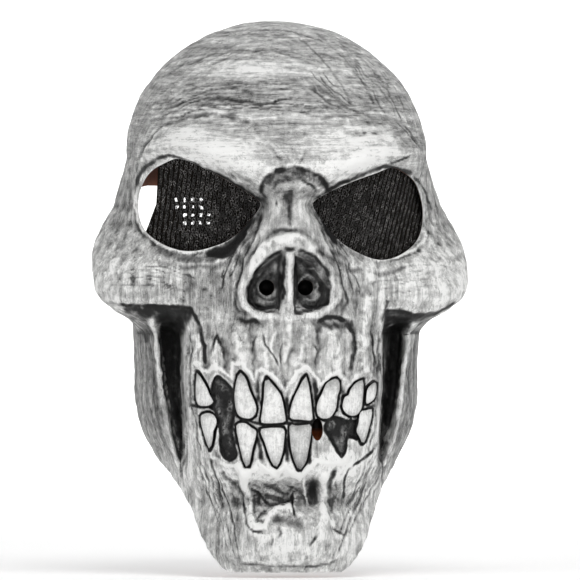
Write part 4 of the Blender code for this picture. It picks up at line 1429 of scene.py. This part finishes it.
def grey(value, warm=0.0):
    return (value * (1 + warm), value, value * (1 - warm), 1)


skinPaint = {
    # near black, used only for the painted shade inside the crown
    "wash": grey(0.012),
    "latex": (0.24, 0.062, 0.014, 1),
    "latexDeep": (0.11, 0.028, 0.008, 1),
    "light": (1.0, 1.0, 0.985, 1),
    # how much each layer changes the tone
    "relief": 0.20,
    "streak": 0.70,
    "smear": 0.80,
    "grit": 0.42,
    "fine": 0.35,
    "blotch": 0.30,
    "line": 0.26,
    "sunkenWash": 0.60,
    "washStrength": 0.88,
    "darkest": 0.09,
    "lightest": 0.95,
}


def paintedLatex():
    n = Nodes("paintedLatex")
    dark, base, relief = n.attribute("dark"), n.attribute("tone"), n.attribute("relief")
    brow, bare, amount = n.attribute("brow"), n.attribute("bare"), n.attribute("grain")

    def alongGrain(level, upright):
        # level on the brow and upright below it
        below = n.math("MULTIPLY", upright, n.math("SUBTRACT", 1.0, brow))
        return n.math("ADD", n.math("MULTIPLY", level, brow), below)

    # streaks
    level = n.noise(1.0, n.mapped((70, 70, 820)), 5, 0.66, 0.8)
    upright = n.noise(1.0, n.mapped((640, 640, 60)), 5, 0.66, 0.8)
    streak = alongGrain(level, upright)
    fine = n.noise(1500, None, 3, 0.7)
    grit = n.noise(420, None, 5, 0.75)
    blotch = n.noise(70, None, 4, 0.6)
    # broader smears, along the same ways
    levelSmear = n.noise(1.0, n.mapped((16, 16, 170)), 4, 0.60, 1.2)
    uprightSmear = n.noise(1.0, n.mapped((150, 150, 17)), 4, 0.60, 1.2)
    smear = alongGrain(levelSmear, uprightSmear)
    # thin wandering lines where a stretched noise crosses its middle
    levelLine = n.noise(1.0, n.mapped((60, 60, 330)), 3, 0.6, 1.2)
    uprightLine = n.noise(1.0, n.mapped((300, 300, 55)), 3, 0.6, 1.2)
    line = alongGrain(levelLine, uprightLine)
    line = n.ranged(n.math("ABSOLUTE", n.math("SUBTRACT", line, 0.5)), 0.035, 0.0)
    line = n.math("MULTIPLY", line, n.ranged(grit, 0.40, 0.62))
    tone = n.math("ADD", base, n.math("MULTIPLY", relief, skinPaint["relief"]))
    streaky = n.math("MULTIPLY", n.math("SUBTRACT", streak, 0.5), amount)
    tone = n.math("ADD", tone, n.math("MULTIPLY", streaky, skinPaint["streak"]))
    share = n.math("ADD", n.math("MULTIPLY", amount, 0.6), 0.4)
    smeared = n.math("MULTIPLY", n.math("SUBTRACT", smear, 0.5), share)
    tone = n.math("ADD", tone, n.math("MULTIPLY", smeared, skinPaint["smear"]))
    tone = n.math("ADD", tone, n.math("MULTIPLY", n.math("SUBTRACT", grit, 0.5), skinPaint["grit"]))
    tone = n.math("ADD", tone, n.math("MULTIPLY", n.math("SUBTRACT", fine, 0.5), skinPaint["fine"]))
    tone = n.math("ADD", tone, n.math("MULTIPLY", n.math("SUBTRACT", blotch, 0.5), skinPaint["blotch"]))
    tone = n.math("SUBTRACT", tone, n.math("MULTIPLY", n.math("MULTIPLY", line, amount), skinPaint["line"]))
    # black wash in the strokes, and wherever the surface is sunken
    ragged = n.math("ADD", dark, n.math("MULTIPLY", n.math("SUBTRACT", grit, 0.5), 0.7))
    wash = n.math("MULTIPLY", n.ranged(ragged, 0.05, 0.85), n.ranged(dark, 0.0, 0.25))
    wash = n.math("MAXIMUM", wash, n.math("MULTIPLY", n.ranged(relief, -0.45, -1.2), skinPaint["sunkenWash"]))
    left = n.math("SUBTRACT", 1.0, n.math("MULTIPLY", wash, skinPaint["washStrength"]))
    tone = n.math("MULTIPLY", tone, left)
    tone = n.math("MINIMUM", n.math("MAXIMUM", tone, skinPaint["darkest"]), skinPaint["lightest"])
    # tone is as the eye sees it, so it becomes light by a power
    albedo = n.math("POWER", tone, 2.2)
    colour = n.mix(albedo, (0.0, 0.0, 0.0, 1), skinPaint["light"])
    inside = n.mix(n.ranged(blotch, 0.3, 0.7), skinPaint["latex"], skinPaint["latexDeep"])
    # painted shade: near black over the bare latex inside the back of the crown
    inside = n.mix(n.attribute("insideShade"), inside, skinPaint["wash"])
    colour = n.mix(bare, colour, inside)
    n.link(colour, n.shader.inputs["Base Color"])
    n.link(n.ranged(wash, 0.0, 1.0, 0.66, 0.45), n.shader.inputs["Roughness"])
    n.shader.inputs["Specular IOR Level"].default_value = 0.3
    grain = n.bump(streak, 0.0006, 0.5)
    grain = n.bump(n.math("SUBTRACT", 1.0, line), 0.0003, 0.5, grain)
    n.link(n.bump(grit, 0.0005, 0.5, grain), n.shader.inputs["Normal"])
    return n.material


def toothPaint():
    n = Nodes("toothPaint")
    streak = n.noise(1.0, n.mapped((900, 900, 170)), 4, 0.65, 0.5)
    grit = n.noise(420, None, 5, 0.75)
    fine = n.noise(1500, None, 3, 0.7)
    edge = n.attribute("edge")
    tone = n.math("ADD", n.attribute("tone"), n.math("MULTIPLY", n.math("SUBTRACT", streak, 0.5), 0.40))
    tone = n.math("ADD", tone, n.math("MULTIPLY", n.math("SUBTRACT", grit, 0.5), 0.32))
    tone = n.math("ADD", tone, n.math("MULTIPLY", n.math("SUBTRACT", fine, 0.5), 0.25))
    mottle = n.noise(190, None, 4, 0.65, 0.6)
    tone = n.math("ADD", tone, n.math("MULTIPLY", n.math("SUBTRACT", mottle, 0.5), 0.45))
    ragged = n.math("ADD", edge, n.math("MULTIPLY", n.math("SUBTRACT", grit, 0.5), 0.5))
    wash = n.ranged(ragged, 0.50, 0.95)
    tone = n.math("MULTIPLY", tone, n.math("SUBTRACT", 1.0, n.math("MULTIPLY", wash, 0.88)))
    albedo = n.math("POWER", n.math("MINIMUM", n.math("MAXIMUM", tone, 0.10), 0.95), 2.2)
    n.link(n.mix(albedo, (0, 0, 0, 1), (1.0, 1.0, 0.985, 1)), n.shader.inputs["Base Color"])
    n.shader.inputs["Roughness"].default_value = 0.5
    n.shader.inputs["Specular IOR Level"].default_value = 0.35
    n.link(n.bump(grit, 0.0004, 0.5, n.bump(streak, 0.0004, 0.4)), n.shader.inputs["Normal"])
    return n.material


def netYarn():
    n = Nodes("netYarn")
    fine = n.noise(1700, None, 3, 0.8)
    # painted glints: light grey specks in the yarn's colour stand in for highlights on the black yarn
    glintShare = n.math("MULTIPLY", n.ranged(n.attribute("paintedGlint"), 0.05, 0.6), n.ranged(fine, 0.50, 0.62))
    n.link(n.mix(glintShare, grey(0.006, 0.1), grey(0.55, 0.03)), n.shader.inputs["Base Color"])
    n.link(n.ranged(fine, 0.35, 0.65, 0.25, 0.5), n.shader.inputs["Roughness"])
    n.shader.inputs["Specular IOR Level"].default_value = 0.5
    n.link(n.bump(fine, 0.0002, 0.6), n.shader.inputs["Normal"])
    return n.material


# near-black sheet behind the knit: painted shade for the dark inside of the head behind the net
def netShadeBacking():
    n = Nodes("netShadeBacking")
    fine = n.noise(900, None, 3, 0.7)
    n.link(n.mix(fine, grey(0.002), grey(0.010, 0.3)), n.shader.inputs["Base Color"])
    n.shader.inputs["Roughness"].default_value = 0.95
    n.shader.inputs["Specular IOR Level"].default_value = 0.08
    return n.material


def floorPaint():
    n = Nodes("floorPaint")
    cloud = n.noise(3, None, 2, 0.5)
    n.link(n.mix(cloud, grey(0.90), grey(0.93)), n.shader.inputs["Base Color"])
    n.shader.inputs["Roughness"].default_value = 0.9
    n.shader.inputs["Emission Color"].default_value = (1, 1, 1, 1)
    n.shader.inputs["Emission Strength"].default_value = 0.22
    return n.material


def dress(obj, material, node):
    obj.data.materials.clear()
    obj.data.materials.append(material)
    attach(obj, "root")
    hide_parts(node)


# dark pockets behind the nostrils and the gap, open at their tops: painted shade, black where the inside of
# the head lies in shade, with bare latex at the bottom of the gap's pocket
pocketSize = {"grow": 1.22, "depth": 0.0080, "wall": 0.0005, "front": -0.0005}
shadePockets = (
    # name, x, height, half width, half height, bare latex at the bottom
    ("nostrilShadePocketLeft", -0.0105, 0.1535, 0.0043, 0.0043, 0.0),
    ("nostrilShadePocketRight", 0.0105, 0.1535, 0.0043, 0.0043, 0.0),
    ("gapShadePocket", 0.0161, 0.0772, 0.0031, 0.0060, 1.0),
)


def makeShadePocket(name, x, height, halfWidth, halfHeight, latex, inner):
    deselectAll()
    bpy.ops.mesh.primitive_uv_sphere_add(segments=40, ring_count=24, radius=1)
    pocket = bpy.context.object
    pocket.name = pocket.data.name = name
    # the half behind the skin, without its top
    bpy.ops.object.mode_set(mode="EDIT")
    bpy.ops.mesh.select_all(action="SELECT")
    bpy.ops.mesh.bisect(plane_co=(0, 0, 0), plane_no=(0, 1, 0), clear_inner=True)
    bpy.ops.mesh.select_all(action="SELECT")
    bpy.ops.mesh.bisect(plane_co=(0, 0, 0.80), plane_no=(0, -0.35, 1), clear_outer=True)
    bpy.ops.object.mode_set(mode="OBJECT")
    points = readPoints(pocket.data)
    hit = inner.ray_cast(Vector((x, -0.3, height - headForm["seatHeight"])), Vector((0, 1, 0)))[0]
    grow = pocketSize["grow"]
    reach = np.where(points[:, 1] > 0, points[:, 1], 0)
    placed = np.column_stack(
        (
            x + points[:, 0] * halfWidth * grow,
            hit.y + pocketSize["front"] + reach * pocketSize["depth"],
            height - headForm["seatHeight"] + points[:, 2] * halfHeight * grow,
        )
    )
    writePoints(pocket.data, placed)
    activate(pocket)
    wall = pocket.modifiers.new("wall", "SOLIDIFY")
    wall.thickness, wall.offset = pocketSize["wall"], 0
    bpy.ops.object.modifier_apply(modifier=wall.name)
    fixNormals(pocket)
    for polygon in pocket.data.polygons:
        polygon.use_smooth = True
    mesh = pocket.data
    up = (readPoints(mesh)[:, 2] + headForm["seatHeight"] - height) / halfHeight
    latexShare = latex * rise(0.15, -0.35, up)
    count = len(mesh.vertices)
    # painted shade: the pocket is black wash all over, except bare latex at the bottom of the gap's pocket
    for word, values in (("dark", 1 - latexShare), ("tone", np.full(count, 0.2)),
                         ("relief", np.zeros(count))):
        setAttribute(mesh, word, values)
    setAttribute(mesh, "bare", latexShare)
    setAttribute(mesh, "brow", np.zeros(count))
    setAttribute(mesh, "grain", np.ones(count))
    return pocket


# make everything
shell, baseSurface, innerSurface = makeShell()
paintShell(shell, innerSurface)
skin = paintedLatex()
dress(shell, skin, "skull_shell")
report("shell painted, points", len(shell.data.vertices))
for settings in shadePockets:
    dress(makeShadePocket(*settings, innerSurface), skin, "skull_shell")

toothMaterial = toothPaint()
for name, outline in toothOutlines.items():
    dress(makeTooth(name, outline, baseSurface), toothMaterial, "skull_shell")
report("teeth", len(toothOutlines))

yarn, shadeBacking = netYarn(), netShadeBacking()
for side, node in ((-1, "eye_mesh_left"), (1, "eye_mesh_right")):
    shadeSheet, knit = makeNet(side, innerSurface)
    dress(shadeSheet, shadeBacking, node)
    dress(knit, yarn, node)

# floor that sweeps up behind
deselectAll()
bpy.ops.mesh.primitive_plane_add(size=14, location=(0, 0, -0.30))
floor = bpy.context.object
floor.name = "paleFloor"
ends = readPoints(floor.data)
selectPoints(floor, ends[:, 1] > 0)
bpy.ops.mesh.extrude_region_move(TRANSFORM_OT_translate={"value": (0, 0, 3.5)})
bpy.ops.object.mode_set(mode="OBJECT")
ends = readPoints(floor.data)
selectPoints(floor, (ends[:, 1] > 0) & (np.abs(ends[:, 2]) < 0.01))
bpy.ops.mesh.bevel(offset=1.5, segments=24, affect="EDGES")
bpy.ops.object.mode_set(mode="OBJECT")
for polygon in floor.data.polygons:
    polygon.use_smooth = True
floor.data.materials.append(floorPaint())

lights = (
    # name, place, size, watts
    ("softTop", (0.2, -1.5, 1.7), 1.3, 22),
    ("softLeft", (-1.8, -1.6, 0.5), 1.2, 9.5),
    ("softRight", (1.7, -1.8, 0.4), 1.2, 9.5),
    ("softBack", (0.2, 1.5, 1.3), 1.4, 12),
)


def softLight(name, place, size, watts, towards=(0, -0.03, -0.14)):
    light = bpy.data.lights.new(name, "AREA")
    light.shape = "DISK"
    light.size, light.energy = size, watts
    lamp = bpy.data.objects.new(name, light)
    lamp.location = place
    lamp.rotation_euler = (Vector(towards) - Vector(place)).to_track_quat("-Z", "Y").to_euler()
    bpy.context.scene.collection.objects.link(lamp)


for settings in lights:
    softLight(*settings)
softLight("backdropLight", (0, 3.6, 2.4), 2.4, 150, (0, 5.8, 0.0))
world = bpy.data.worlds.new("studio")
world.use_nodes = True
world.node_tree.nodes["Background"].inputs[0].default_value = (1, 1, 1, 1)
world.node_tree.nodes["Background"].inputs[1].default_value = 0.31
bpy.context.scene.world = world
bpy.context.scene.view_settings.view_transform = "Standard"

lens = bpy.data.cameras.new("camera")
lens.sensor_width = 36
lens.lens = 36 * picture["distance"] / (picture["pixels"] * picture["pixelSize"])
lens.clip_start, lens.clip_end = 0.1, 50
camera = bpy.data.objects.new("camera", lens)
camera.location = lookFrom
camera.rotation_euler = Vector(lookAhead).to_track_quat("-Z", "Y").to_euler()
bpy.context.scene.collection.objects.link(camera)
bpy.context.scene.camera = camera
